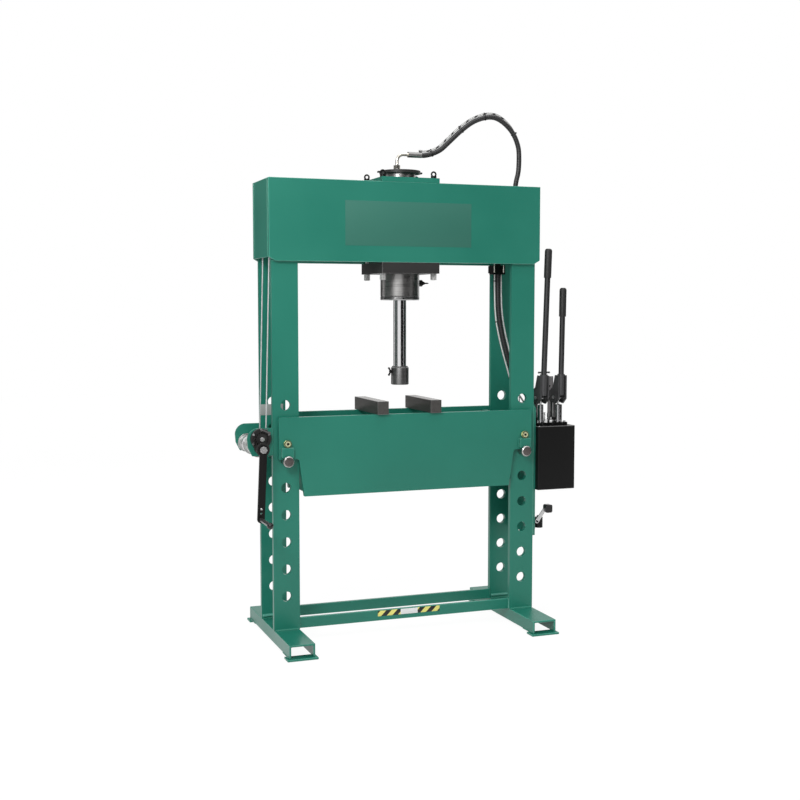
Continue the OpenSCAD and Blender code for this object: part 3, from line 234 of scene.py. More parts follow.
class Effects:
    """Node groups for the effects that several finishes share, each built once."""

    drift_noise = (2.2, 3.0)
    drift_band = (0.35, 0.65)
    drift_gloss = 0.06
    peel_noise = (420.0, 2.0)
    grain_noise = (3.0, 4.0, 0.62)
    grain_band = (0.3, 0.7)
    grain_gloss = 0.07
    smudge_noise = (9.0, 6.0, 0.6)
    smudge_band = (0.45, 0.75)
    both_ways = (-1.0, 1.0)

    def __init__(self) -> None:
        """Builds the groups."""
        self.skin = self._skin()
        self.grain = self._grain()
        self.smudges = self._smudges()

    @staticmethod
    def _group(name: str, inputs: Sequence[Tuple[str, Plug, object]],
               outputs: Sequence[Tuple[str, Plug]]) -> Tuple[Graph, Node, Node]:
        """Starts a node group.

        Args:
            name: the group's name.
            inputs: name, kind and default of each input.
            outputs: name and kind of each output.

        Returns:
            The group's graph, its input node and its output node.
        """
        tree = bpy.data.node_groups.new(name, "ShaderNodeTree")
        for label, plug, default in inputs:
            socket = tree.interface.new_socket(name=label, in_out="INPUT", socket_type=plug.value)
            socket.default_value = default
        for label, plug in outputs:
            tree.interface.new_socket(name=label, in_out="OUTPUT", socket_type=plug.value)
        return Graph(tree), tree.nodes.new("NodeGroupInput"), tree.nodes.new("NodeGroupOutput")

    @staticmethod
    def _vary(graph: Graph, given: Node, end: Node, spread: Socket, amount: str, gloss: float) -> None:
        """Lets a noise vary the colour and the roughness of a group.

        Args:
            graph: the group's graph.
            given: its input node.
            end: its output node.
            spread: the noise, from -1 to 1.
            amount: the input that says how far the colour varies.
            gloss: how far the roughness varies.
        """
        share = graph.math("MULTIPLY_ADD", spread, given.outputs[amount], 1.0)
        tint = graph.node("VectorMath", {0: given.outputs["Colour"], "Scale": share}, operation="SCALE")
        rough = graph.math("MULTIPLY_ADD", spread, gloss, given.outputs["Roughness"])
        graph.feed(end, {"Colour": tint.outputs[0], "Roughness": rough})

    def _skin(self) -> Tree:
        """Builds sprayed enamel: a slow drift of tone and the fine peel of its surface.

        Returns:
            The group.
        """
        graph, given, end = self._group(
            "enamel_skin",
            [("Vector", Plug.VECTOR, (0, 0, 0)), ("Colour", Plug.COLOUR, WHITE),
             ("Drift", Plug.NUMBER, 0.08), ("Roughness", Plug.NUMBER, 0.4)],
            [("Colour", Plug.COLOUR), ("Roughness", Plug.NUMBER), ("Height", Plug.NUMBER)])
        slow = graph.noise(given.outputs["Vector"], *self.drift_noise)
        spread = graph.graded(slow, self.drift_band, self.both_ways)
        self._vary(graph, given, end, spread, "Drift", self.drift_gloss)
        graph.feed(end, {"Height": graph.noise(given.outputs["Vector"], *self.peel_noise)})
        return graph.tree

    def _grain(self) -> Tree:
        """Builds metal grain: noise stretched along one way, for tone, gloss and height.

        Returns:
            The group.
        """
        graph, given, end = self._group(
            "metal_grain",
            [("Vector", Plug.VECTOR, (0, 0, 0)), ("Stretch", Plug.VECTOR, Grain.EVEN.value),
             ("Colour", Plug.COLOUR, WHITE), ("Contrast", Plug.NUMBER, 0.2),
             ("Roughness", Plug.NUMBER, 0.3)],
            [("Colour", Plug.COLOUR), ("Roughness", Plug.NUMBER), ("Height", Plug.NUMBER)])
        place = graph.node("VectorMath", {0: given.outputs["Vector"], 1: given.outputs["Stretch"]},
                           operation="MULTIPLY")
        lines = graph.noise(place.outputs[0], *self.grain_noise)
        spread = graph.graded(lines, self.grain_band, self.both_ways)
        self._vary(graph, given, end, spread, "Contrast", self.grain_gloss)
        graph.feed(end, {"Height": lines})
        return graph.tree

    def _smudges(self) -> Tree:
        """Builds the marks of handling: faint clouds in the gloss.

        Returns:
            The group.
        """
        graph, given, end = self._group(
            "smudges",
            [("Vector", Plug.VECTOR, (0, 0, 0)), ("Roughness", Plug.NUMBER, 0.4),
             ("Amount", Plug.NUMBER, 0.15)],
            [("Roughness", Plug.NUMBER)])
        clouds = graph.noise(given.outputs["Vector"], *self.smudge_noise)
        spread = graph.graded(clouds, self.smudge_band)
        rough = graph.math("MULTIPLY_ADD", spread, given.outputs["Amount"], given.outputs["Roughness"])
        graph.feed(end, {"Roughness": rough})
        return graph.tree


class Surface(Graph):
    """A material in the making: its shader, its coordinates and the shared effects."""

    def __init__(self, material: bpy.types.Material, effects: Effects) -> None:
        """Opens the material's tree.

        Args:
            material: the bare material.
            effects: the shared effects.
        """
        material.use_nodes = True
        super().__init__(material.node_tree)
        self.effects = effects
        self.shader = self.tree.nodes["Principled BSDF"]
        self.place = self.node("TexCoord").outputs

    def shade(self, inputs: Inputs) -> None:
        """Feeds the shader."""
        self.feed(self.shader, inputs)

    def effect(self, group: Tree, **values: Value) -> bpy.types.bpy_prop_collection:
        """The outputs of a shared effect that is given its own values."""
        inputs = {"Vector": self.place["Object"], **values}
        return self.node("Group", inputs, node_tree=group).outputs

    def smudge(self, roughness: float, amount: float) -> None:
        """Lays smudges in the gloss."""
        marks = self.effect(self.effects.smudges, Roughness=roughness, Amount=amount)
        self.shade({"Roughness": marks["Roughness"]})

    def bump(self, height: Socket, strength: float, depth: float) -> None:
        """Drives the shader's normal from a height."""
        bump = self.node("Bump", {"Strength": strength, "Distance": depth, "Height": height})
        self.shade({"Normal": bump.outputs[0]})


# ---- Finishes ----


@dataclass(frozen=True)
class Finish:
    """A surface finish. Subclasses say how its nodes are wired.

    Attributes:
        name: the material's name.
        colour: linear base colour.
        roughness: mean roughness.
        specular: level of the mirror share, 0.5 for plain paint.
    """

    name: str
    colour: Colour
    roughness: float = 0.4
    specular: float = 0.5

    def build(self, effects: Effects) -> bpy.types.Material:
        """Builds the material.

        Args:
            effects: the shared effects.

        Returns:
            The material.
        """
        material = bpy.data.materials.new(self.name)
        surface = Surface(material, effects)
        surface.shade({"Base Color": (*self.colour, 1.0), "Roughness": self.roughness,
                       "Specular IOR Level": self.specular})
        self.wire(surface)
        return material

    def wire(self, surface: Surface) -> None:
        """Wires what sets the finish apart."""
        raise NotImplementedError


@dataclass(frozen=True)
class Enamel(Finish):
    """Sprayed enamel with a faint peel and a clear top."""

    drift: float = 0.05
    coat: float = 0.25
    peel: float = 0.06
    coat_roughness: float = 0.22
    depth: float = 0.0008

    def wire(self, surface: Surface) -> None:
        """Lays the shared skin.

        Args:
            surface: the material in the making.
        """
        skin = surface.effect(surface.effects.skin, Colour=(*self.colour, 1.0), Drift=self.drift,
                              Roughness=self.roughness)
        surface.shade({"Base Color": skin["Colour"], "Roughness": skin["Roughness"],
                       "Coat Weight": self.coat, "Coat Roughness": self.coat_roughness})
        surface.bump(skin["Height"], self.peel, self.depth)


@dataclass(frozen=True)
class Metal(Finish):
    """Bare or plated metal with a grain."""

    grain: Grain = Grain.EVEN
    contrast: float = 0.15
    metallic: float = 1.0
    relief: float = 0.08
    depth: float = 0.0004

    def wire(self, surface: Surface) -> None:
        """Lays the shared grain.

        Args:
            surface: the material in the making.
        """
        lines = surface.effect(surface.effects.grain, Stretch=self.grain.value,
                               Colour=(*self.colour, 1.0), Contrast=self.contrast, Roughness=self.roughness)
        surface.shade({"Base Color": lines["Colour"], "Roughness": lines["Roughness"],
                       "Metallic": self.metallic})
        surface.bump(lines["Height"], self.relief, self.depth)


@dataclass(frozen=True)
class Moulded(Finish):
    """Rubber or plastic: handled gloss over a fine leathery grain."""

    coarse: float = 700.0
    relief: float = 0.2
    depth: float = 0.0004
    smudges: float = 0.2

    def wire(self, surface: Surface) -> None:
        """Lays smudges and a cell grain.

        Args:
            surface: the material in the making.
        """
        surface.smudge(self.roughness, self.smudges)
        cells = surface.node("TexVoronoi", {"Scale": self.coarse, "Vector": surface.place["Object"]})
        surface.bump(cells.outputs["Distance"], self.relief, self.depth)


@dataclass(frozen=True)
class Wound(Finish):
    """Rubber hose, light tube or wire rope: a lay that follows the piece's own length.

    Attributes:
        stripe: the stripes' colour.
        turns: the stripes in a metre.
        across: the stripes once round the piece.
        share: the stripes' share of the surface.
        blur: the width over which a stripe fades.
        reach: the length from the start that has stripes.
        rim: how dark the outline is, a painted shade laid in the colour where the surface turns from the
            eye.
        outline_shade_band: the turn away from the eye over which that painted shade darkens the outline.
    """

    stripe: Colour = (0.5, 0.5, 0.5)
    turns: float = 60.0
    across: float = 1.0
    share: float = 0.5
    blur: float = 0.05
    metallic: float = 0.0
    relief: float = 0.3
    depth: float = 0.0006
    smudges: float = 0.1
    reach: float = 1000.0
    rim: float = 0.0
    outline_shade_band: Pair = (0.06, 0.32)
    outline_shade_colour: Colour = (0.02, 0.02, 0.02)

    def with_painted_outline_shade(self, surface: Surface, tone: Socket) -> Socket:
        """A tone with painted shade darkening its outline."""
        facing = surface.node("LayerWeight", {"Blend": 0.5}).outputs["Facing"]
        return surface.mix(surface.graded(facing, self.outline_shade_band, (0.0, self.rim)), tone,
                           (*self.outline_shade_colour, 1.0))

    def wire(self, surface: Surface) -> None:
        """Lays the stripes on the piece's UV map: length along U, once round along V.

        Args:
            surface: the material in the making.
        """
        split = surface.node("SeparateXYZ", {"Vector": surface.place["UV"]}).outputs
        along = surface.math("MULTIPLY", split["X"], self.turns)
        saw = surface.math("PINGPONG", surface.math("MULTIPLY_ADD", split["Y"], self.across, along), 0.5)
        half = 0.5 * self.share
        mask = surface.graded(saw, (half - self.blur, half + self.blur), (1.0, 0.0))
        near = surface.math("LESS_THAN", split["X"], self.reach)
        tone = surface.mix(surface.math("MULTIPLY", mask, near), (*self.colour, 1.0), (*self.stripe, 1.0))
        # Painted shade: the outline is darkened in the base colour where the surface turns from the eye.
        surface.shade({"Base Color": self.with_painted_outline_shade(surface, tone) if self.rim > 0 else tone,
                       "Metallic": self.metallic})
        surface.smudge(self.roughness, self.smudges)
        surface.bump(saw, self.relief, self.depth)


@dataclass(frozen=True)
class HazardTape(Finish):
    """Warning tape: yellow and black diagonals with a bare white middle."""

    black: Colour = (0.012, 0.012, 0.012)
    white: Colour = (0.85, 0.85, 0.85)
    pitch: float = 0.051
    start_x: float = -0.133
    middle_z: float = 0.0925
    middle: float = 0.0
    white_half: float = 0.0387
    smudges: float = 0.2

    def wire(self, surface: Surface) -> None:
        """Lays the bands by the tape's own place along X and Z.

        Args:
            surface: the material in the making.
        """
        split = surface.node("SeparateXYZ", {"Vector": surface.place["Object"]}).outputs
        lean = surface.math("MULTIPLY_ADD", split["Z"], -1.0, split["X"])
        first = (self.middle_z - self.start_x) / self.pitch
        step = surface.math("MULTIPLY_ADD", lean, 1.0 / self.pitch, first)
        stripe = surface.math("GREATER_THAN", surface.math("FRACT", step), 0.5)
        bands = surface.mix(stripe, (*self.colour, 1.0), (*self.black, 1.0))
        inside = surface.math("COMPARE", split["X"], self.middle, self.white_half)
        surface.shade({"Base Color": surface.mix(inside, bands, (*self.white, 1.0))})
        surface.smudge(self.roughness, self.smudges)


FINISHES: Tuple[Finish, ...] = (
    Enamel("green_enamel", (0.0155, 0.193, 0.136), 0.38, specular=0.4, drift=0.05, coat=0.1),
    # A lighter green for the plates' rounded edges: a painted highlight along them.
    Enamel("edge_highlight_enamel", (0.045, 0.29, 0.21), 0.30, drift=0.15, coat=0.3),
    Enamel("panel_enamel", (0.030, 0.160, 0.118), 0.50, specular=0.4, drift=0.02, coat=0.0),
    # The beads are a lighter green than the frame: partly a painted highlight on the weld's own paint.
    Enamel("weld_enamel_and_highlight", (0.030, 0.235, 0.165), 0.24, drift=0.12, coat=0.6, peel=0.25),
    # Lighter still and glossier for the crossbar beads: the lighter green is a painted highlight.
    Enamel("weld_gloss_and_highlight", (0.090, 0.36, 0.28), 0.16, drift=0.2, coat=1.0, peel=0.4),
    Enamel("gloss_black", (0.006, 0.006, 0.006), 0.13, drift=0.1, coat=0.2),
    Enamel("black_enamel", (0.006, 0.006, 0.006), 0.36, specular=0.2, drift=0.15, coat=0.0),
    Enamel("black_satin", (0.020, 0.0195, 0.019), 0.46, specular=0.4, drift=0.25, coat=0.0, peel=0.2),
    # A grey for the tank's rounded edges: a painted highlight along them.
    Enamel("black_edge_highlight", (0.17, 0.165, 0.165), 0.34, drift=0.1, coat=0.2),
    Metal("barrel_steel", (0.32, 0.315, 0.31), 0.31, grain=Grain.TURNED, contrast=0.3),
    Metal("turned_dark", (0.20, 0.20, 0.20), 0.34, grain=Grain.TURNED, contrast=0.25),
    Metal("mill_dark", (0.105, 0.10, 0.095), 0.45, grain=Grain.ALONG_Y, contrast=0.35, metallic=0.7),
    Metal("milled_top", (0.22, 0.21, 0.20), 0.30, grain=Grain.ALONG_Y, contrast=0.4, metallic=0.8),
    Metal("hard_chrome", (0.70, 0.70, 0.71), 0.13, grain=Grain.TURNED, contrast=0.03, relief=0.0),
    # Polished steel for the guide sleeves; on the cap's rim and the forks' edges it is a painted highlight.
    Metal("polished_steel_and_edge_highlight", (0.42, 0.42, 0.43), 0.16, grain=Grain.ALONG_Z, contrast=0.08, relief=0.01),
    Metal("bright_steel", (0.56, 0.56, 0.56), 0.26, contrast=0.12),
    Metal("blue_black_steel", (0.07, 0.07, 0.072), 0.3, grain=Grain.ALONG_Z, contrast=0.3, metallic=0.8),
    Metal("pin_steel", (0.50, 0.49, 0.48), 0.28, grain=Grain.ALONG_Y, contrast=0.15),
    Metal("pin_face", (0.13, 0.115, 0.11), 0.42, contrast=0.3, metallic=0.7),
    Metal("zinc_plate", (0.60, 0.61, 0.60), 0.32, grain=Grain.TURNED, contrast=0.12),
    # Dark olive for the rims of the ear bolts' heads: painted shade.
    Metal("bolt_rim_shade", (0.16, 0.20, 0.10), 0.35, contrast=0.2, metallic=0.8),
    # Pale worn zinc for the clamp studs; on the flange's rounded edges it is a painted highlight.
    Metal("worn_zinc_and_edge_highlight", (0.66, 0.66, 0.65), 0.48, contrast=0.3, metallic=0.8),
    Metal("yellow_zinc", (0.92, 0.95, 0.58), 0.34, contrast=0.35),
    Metal("pale_zinc", (0.74, 0.71, 0.64), 0.22, contrast=0.12),
    Metal("label_metal", (0.24, 0.23, 0.235), 0.5, grain=Grain.ALONG_X, contrast=0.12, metallic=0.6),
    Moulded("black_grip", (0.013, 0.013, 0.013), 0.46),
    Moulded("black_knob", (0.008, 0.008, 0.008), 0.22, relief=0.02),
    Moulded("grey_label", (0.36, 0.38, 0.37), 0.4, relief=0.02),
    Metal("fork_steel", (0.085, 0.085, 0.088), 0.42, grain=Grain.ALONG_Z, contrast=0.3, metallic=0.7),
    Moulded("tie_nylon", (0.010, 0.010, 0.010), 0.4, relief=0.05),
    Wound("hose_rubber", (0.014, 0.014, 0.015), 0.42, stripe=(0.03, 0.03, 0.03), turns=90, share=0.4),
    # The tubes' rim paints shade on their outlines.
    Wound("pale_tube", (0.84, 0.84, 0.82), 0.35, stripe=(0.02, 0.02, 0.02), turns=22, share=0.35,
          relief=0.05, reach=0.46, rim=0.8),
    Wound("clear_tube", (0.84, 0.84, 0.83), 0.28, stripe=(0.80, 0.80, 0.80), turns=40, relief=0.0,
          rim=0.25),
    Wound("wire_rope", (0.52, 0.52, 0.53), 0.36, stripe=(0.92, 0.92, 0.92), turns=120, across=6.0,
          metallic=0.5, relief=0.6),
    HazardTape("hazard_tape", (0.86, 0.80, 0.22), 0.4, middle=0.0082),
)


# ---- Mesh making ----


@dataclass(frozen=True)
class Inlay:
    """A part of a node that wears another finish than the rest.

    Attributes:
        material: the part's finish.
        low: the lowest corner of the box that its faces' middles lie in.
        high: the highest corner.
    """

    material: str
    low: Point
    high: Point

    def holds(self, place: Vector) -> bool:
        """Whether a point lies in the box."""
        return all(a <= v <= b for a, v, b in zip(self.low, place, self.high))


class Stock:
    """A mesh in the making, worked with bmesh operators."""

    spin_gap = 1e-7

    def __init__(self) -> None:
        """Starts an empty mesh."""
        self.bm = bmesh.new()

    def cube(self, place: Matrix) -> List[bmesh.types.BMVert]:
        """Adds a cube of side 1, moved, turned and sized by a matrix."""
        return bmesh.ops.create_cube(self.bm, size=1.0, matrix=place)["verts"]

    def block(self, low: Sequence[float], high: Sequence[float], bevel: float) -> None:
        """Adds a box between two corners, with its edges bevelled.

        Args:
            low: its lowest corner.
            high: its highest corner.
            bevel: the bevel's width.
        """
        size = Vector(high) - Vector(low)
        middle = (Vector(low) + Vector(high)) / 2
        verts = self.cube(Matrix.Translation(middle) @ Matrix.Diagonal((*size, 1.0)))
        edges = list({e for v in verts for e in v.link_edges})
        bmesh.ops.bevel(self.bm, geom=edges, offset=bevel, segments=2, profile=0.5, affect="EDGES",
                        material=-1)

    def rod(self, start: Sequence[float], end: Sequence[float], radius: float,
            end_radius: Optional[float] = None, sides: int = 32) -> None:
        """Adds a round bar or cone between two points.

        Args:
            start: one end's centre.
            end: the other end's centre.
            radius: the radius at the start.
            end_radius: the radius at the end, where it differs.
            sides: the number of sides.
        """
        a, b = Vector(start), Vector(end)
        turn = (b - a).to_track_quat("Z", "Y").to_matrix().to_4x4()
        bmesh.ops.create_cone(self.bm, cap_ends=True, cap_tris=False, segments=sides, radius1=radius,
                              radius2=radius if end_radius is None else end_radius,
                              depth=(b - a).length, matrix=Matrix.Translation((a + b) / 2) @ turn)

    def hexagon(self, foot: Sequence[float], way: Sequence[float], across: float, height: float,
                chamfer: float = 0.2, shrink: float = 0.86) -> None:
        """Adds a hexagon head with a chamfered rim.

        Args:
            foot: the middle of the face that it stands on.
            way: the direction it stands in.
            across: its width across the flats.
            height: its height.
            chamfer: the chamfer's share of the height.
            shrink: the share of the width that the chamfer leaves.
        """
        base, up, r = Vector(foot), Vector(way).normalized(), across / math.sqrt(3)
        shoulder = base + up * height * (1 - chamfer)
        self.rod(base, shoulder, r, sides=6)
        self.rod(shoulder, base + up * height, r, r * shrink, sides=6)

    def dome(self, foot: Sequence[float], way: Sequence[float], radius: float, height: float) -> None:
        """Adds a domed rivet head.

        Args:
            foot: the middle of the face that it stands on.
            way: the direction it stands in.
            radius: its radius.
            height: its height.
        """
        turn = Vector(way).to_track_quat("Z", "Y").to_matrix().to_4x4()
        place = Matrix.Translation(foot) @ turn @ Matrix.Diagonal((radius, radius, height, 1.0))
        bmesh.ops.create_uvsphere(self.bm, u_segments=20, v_segments=12, radius=1.0, matrix=place)

    def bead(self, x: Span, y: Span, z: Span, radius: float, step: float = 0.0022,
             ripple: float = 0.16, pitch: float = 0.0066) -> None:
        """Lays a rippled weld bead along a straight seam.

        Args:
            x: the seam's place along X, or its start and end there.
            y: the same along Y.
            z: the same along Z.
            radius: the bead's radius.
            step: the length between two rings.
            ripple: the share of the radius lost between two ripples.
            pitch: the length of a ripple.
        """
        ends = [place if isinstance(place, tuple) else (place, place) for place in (x, y, z)]
        a, b = (Vector(end) for end in zip(*ends))
        count = max(4, int((b - a).length / step))
        line = [a.lerp(b, i / count) for i in range(count + 1)]
        self.tube(line, radius, sides=8, ripple=ripple, pitch=pitch)

    def lathe(self, profile: Sequence[Pair], origin: Sequence[float], axis: Axis = Axis.Z,
              steps: int = 48) -> None:
        """Spins a profile of (radius, distance along the axis) into a turned shape.

        Args:
            profile: the profile's points.
            origin: where the axis starts.
            axis: the axis' direction.
            steps: the steps of a full turn.
        """
        direction, base = Vector(axis.value), Vector(origin)
        side = Vector(Axis.X.value if axis is Axis.Z else Axis.Z.value)
        verts = [self.bm.verts.new(base + side * r + direction * h) for r, h in profile]
        edges = [self.bm.edges.new(pair) for pair in zip(verts, verts[1:])]
        bmesh.ops.spin(self.bm, geom=verts + edges, cent=base, axis=direction, dvec=(0, 0, 0),
                       angle=2 * math.pi, steps=steps, use_merge=True, use_duplicate=False)
        bmesh.ops.remove_doubles(self.bm, verts=self.bm.verts, dist=self.spin_gap)
        bmesh.ops.recalc_face_normals(self.bm, faces=self.bm.faces)

    def next_ring(self, ring: List[bmesh.types.BMVert]) -> List[bmesh.types.BMVert]:
        """Extrudes a ring of vertices.

        Args:
            ring: the ring.

        Returns:
            The new ring, in the same order.
        """
        edges = [self.bm.edges.get(pair) for pair in zip(ring, ring[1:] + ring[:1])]
        made = bmesh.ops.extrude_edge_only(self.bm, edges=edges)["geom"]
        fresh = {v for v in made if isinstance(v, bmesh.types.BMVert)}
        return [next(e.other_vert(v) for e in v.link_edges if e.other_vert(v) in fresh) for v in ring]

    def map_band(self, last: List[bmesh.types.BMVert], ring: List[bmesh.types.BMVert], before: float,
                 here: float) -> None:
        """Lays the UV map on the band between two rings.

        Args:
            last: the ring before.
            ring: the new ring.
            before: the length up to the ring before.
            here: the length up to the new ring.
        """
        uv = self.bm.loops.layers.uv.verify()
        for k, (a, b) in enumerate(zip(ring, ring[1:] + ring[:1])):
            face = next(f for f in a.link_faces if b in f.verts)
            for loop in face.loops:
                line, u = (ring, here) if loop.vert in ring else (last, before)
                column = line.index(loop.vert)
                v = 1.0 if column == 0 and k == len(ring) - 1 else column / len(ring)
                loop[uv].uv = (u, v)

    def tube(self, points: Sequence[Vector], radius: float, sides: int = 16, lobes: int = 0,
             depth: float = 0.0, lay: float = 0.0, ripple: float = 0.0, pitch: float = 0.01) -> None:
        """Sweeps a round or lobed section along points and lays a UV map on it.

        Args:
            points: the centre line.
            radius: the section's largest radius.
            sides: the section's number of sides.
            lobes: the section's number of lobes, as of a rope's strands.
            depth: the depth between the lobes.
            lay: the length in which the lobes go once round.
            ripple: the share of the radius lost between two ripples, as of a weld.
            pitch: the length of a ripple.
        """
        self.bm.loops.layers.uv.verify()
        ring = bmesh.ops.create_circle(self.bm, cap_ends=False, segments=sides, radius=radius)["verts"]
        start_ring, travelled = list(ring), 0.0
        side = (points[1] - points[0]).normalized().orthogonal().normalized()
        for i, centre in enumerate(points):
            ahead = (points[min(i + 1, len(points) - 1)] - points[max(i - 1, 0)]).normalized()
            side = (side - ahead * side.dot(ahead)).normalized()
            up = ahead.cross(side)
            if i:
                last, before = ring, travelled
                travelled += (centre - points[i - 1]).length
                ring = self.next_ring(ring)
                self.map_band(last, ring, before, travelled)
            twist = 2 * math.pi * travelled / lay if lay else 0.0
            for k, vert in enumerate(ring):
                angle = 2 * math.pi * k / sides
                r = radius * (1 - ripple * (1 - travelled / pitch % 1.0))
                if lobes:
                    r -= depth * (0.5 - 0.5 * math.cos(lobes * (angle - twist)))
                vert.co = centre + (side * math.cos(angle) + up * math.sin(angle)) * r
        bmesh.ops.contextual_create(self.bm, geom=start_ring)
        bmesh.ops.contextual_create(self.bm, geom=ring)
        bmesh.ops.recalc_face_normals(self.bm, faces=self.bm.faces)

    def mesh(self, name: str) -> bpy.types.Mesh:
        """The finished mesh; the stock is used up.

        Args:
            name: the mesh's name.

        Returns:
            The mesh.
        """
        mesh = bpy.data.meshes.new(name)
        self.bm.to_mesh(mesh)
        self.bm.free()
        return mesh


def stand(name: str, data: bpy.types.ID) -> bpy.types.Object:
    """Adds an object to the scene.

    Args:
        name: its name.
        data: its mesh, lamp or camera.

    Returns:
        The object.
    """
    thing = bpy.data.objects.new(name, data)
    bpy.context.scene.collection.objects.link(thing)
    return thing


# How wide the dressed nodes' edges are rounded. A node that isn't listed is a plate.
PLATE_ROUNDING = 0.0022
ROUNDED = (
    (0.0004, ("rope_ends", "crank_grip")),
    (0.0005, ("bleed_fitting", "label_plate", "plunger_left", "plunger_right")),
    (0.0006, ("hose_elbow", "winch_drum", "tank_breather", "lever_left_grip", "lever_right_grip")),
    (0.0008, ("clamp_studs", "pin_left", "pin_right", "crank", "pump_base", "valve_body", "release_lever")),
    (0.0010, ("hose_clamp",)),
    (0.0012, ("gland_ring", "nose", "winch_front_plate", "winch_rear_plate")),
    (0.0014, ("head_cap", "brake_housing")),
    (0.0015, ("arbor_bars", "pump_plate")),
    (0.0016, ("top_plate", "cylinder_barrel")),
    (0.0020, ("lever_left", "lever_right")),
    (0.0036, ("ear_bolts",)),
    (0.0040, ("tank",)),
    (0.0050, ("cylinder_flange",)),
)
ROUNDING: Dict[str, float] = {node: width for width, nodes in ROUNDED for node in nodes}


class Smith:
    """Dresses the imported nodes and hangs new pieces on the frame's bodies."""

    smooth_deg = 35.0
    cord_smooth_deg = 60.0
    round_from_deg = 40.0
    flat_deg = 0.6
    weld_gap = 2e-6

    def __init__(self) -> None:
        """Builds the finishes."""
        effects = Effects()
        self.finishes: Dict[str, bpy.types.Material] = {f.name: f.build(effects) for f in FINISHES}

    def finish(self, stock: Stock, name: str, coat: Coat, body: str = "frame",
               smooth_deg: float = smooth_deg) -> bpy.types.Object:
        """Turns stock into a piece.

        Args:
            stock: the stock, used up here.
            name: the piece's name.
            coat: its finish and slot.
            body: the frame body that it rides on.
            smooth_deg: edges sharper than this stay sharp.

        Returns:
            The new object.
        """
        material, slot = coat.value
        mesh = stock.mesh(name)
        mesh.shade_smooth()
        mesh.set_sharp_from_angle(angle=math.radians(smooth_deg))
        mesh.materials.append(self.finishes[material])
        piece = stand(name, mesh)
        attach(piece, body)
        log.info("piece %s rides on %s", name, body)
        return piece

    def paint(self, node: str, material: str) -> None:
        """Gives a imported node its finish.

        Args:
            node: the node's name.
            material: its finish.
        """
        mesh = frame["nodes"][node].data
        mesh.materials.clear()
        mesh.materials.append(self.finishes[material])
        log.info("node %s wears %s", node, material)

    def merged(self, node: str) -> Stock:
        """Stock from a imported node's mesh, merged, with its flat faces whole again.

        Args:
            node: the node's name.

        Returns:
            The stock.
        """
        stock = Stock()
        bm = stock.bm
        bm.from_mesh(frame["nodes"][node].data)
        bmesh.ops.remove_doubles(bm, verts=bm.verts, dist=self.weld_gap)
        bmesh.ops.dissolve_limit(bm, angle_limit=math.radians(self.flat_deg), verts=bm.verts,
                                 edges=bm.edges, use_dissolve_boundaries=False)
        return stock

    def soften(self, node: str, coat: Coat, inlays: Sequence[Inlay] = (),
               edge: Optional[str] = None) -> None:
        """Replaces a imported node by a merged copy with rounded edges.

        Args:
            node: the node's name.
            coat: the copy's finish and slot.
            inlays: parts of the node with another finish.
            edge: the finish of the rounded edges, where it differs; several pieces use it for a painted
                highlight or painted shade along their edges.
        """
        stock = self.merged(node)
        for index, inlay in enumerate(inlays, 1):
            for face in stock.bm.faces:
                if inlay.holds(face.calc_center_median()):
                    face.material_index = index
        piece = self.finish(stock, node + "_dressed", coat, frame["nodes"][node]["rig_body"])
        for inlay in inlays:
            piece.data.materials.append(self.finishes[inlay.material])
        rounding = piece.modifiers.new("rounded_edges", "BEVEL")
        rounding.width = ROUNDING.get(node, PLATE_ROUNDING)
        rounding.segments = 2
        rounding.limit_method = "ANGLE"
        rounding.angle_limit = math.radians(self.round_from_deg)
        rounding.use_clamp_overlap = True
        rounding.harden_normals = True
        if edge:
            piece.data.materials.append(self.finishes[edge])
            rounding.material = len(piece.data.materials) - 1
        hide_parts(node)


def smooth_route(route: Sequence[Point], per_span: int = 4) -> List[Vector]:
    """Runs a smooth curve through a route's points.

    Args:
        route: the points, in metres.
        per_span: the steps between two points.

    Returns:
        The curve's points, with the route's own among them.
    """
    knots = [Vector(p) for p in route]
    line: List[Vector] = []
    for i, (a, b) in enumerate(zip(knots, knots[1:])):
        before = knots[i - 1] if i else a - (b - a)
        after = knots[i + 2] if i + 2 < len(knots) else b + (b - a)
        for step in range(per_span):
            t = step / per_span
            line.append(0.5 * ((2 * a) + (b - before) * t + (2 * before - 5 * a + 4 * b - after) * t * t
                               + (3 * a - before - 3 * b + after) * t ** 3))
    line.append(knots[-1])
    return line


# ---- Studio ----


@dataclass(frozen=True)
class Lamp:
    """A soft square lamp: its place, aim, side and watts, and whether metal shows it."""

    name: str
    place: Point
    aim: Point
    size: float
    power: float
    mirrored: bool = True


@dataclass(frozen=True)
class Card:
    """A grey card that is seen only in reflections: its foot, size, turn about Z and tone."""

    foot: Point
    width: float
    height: float
    turn_deg: float
    tone: float


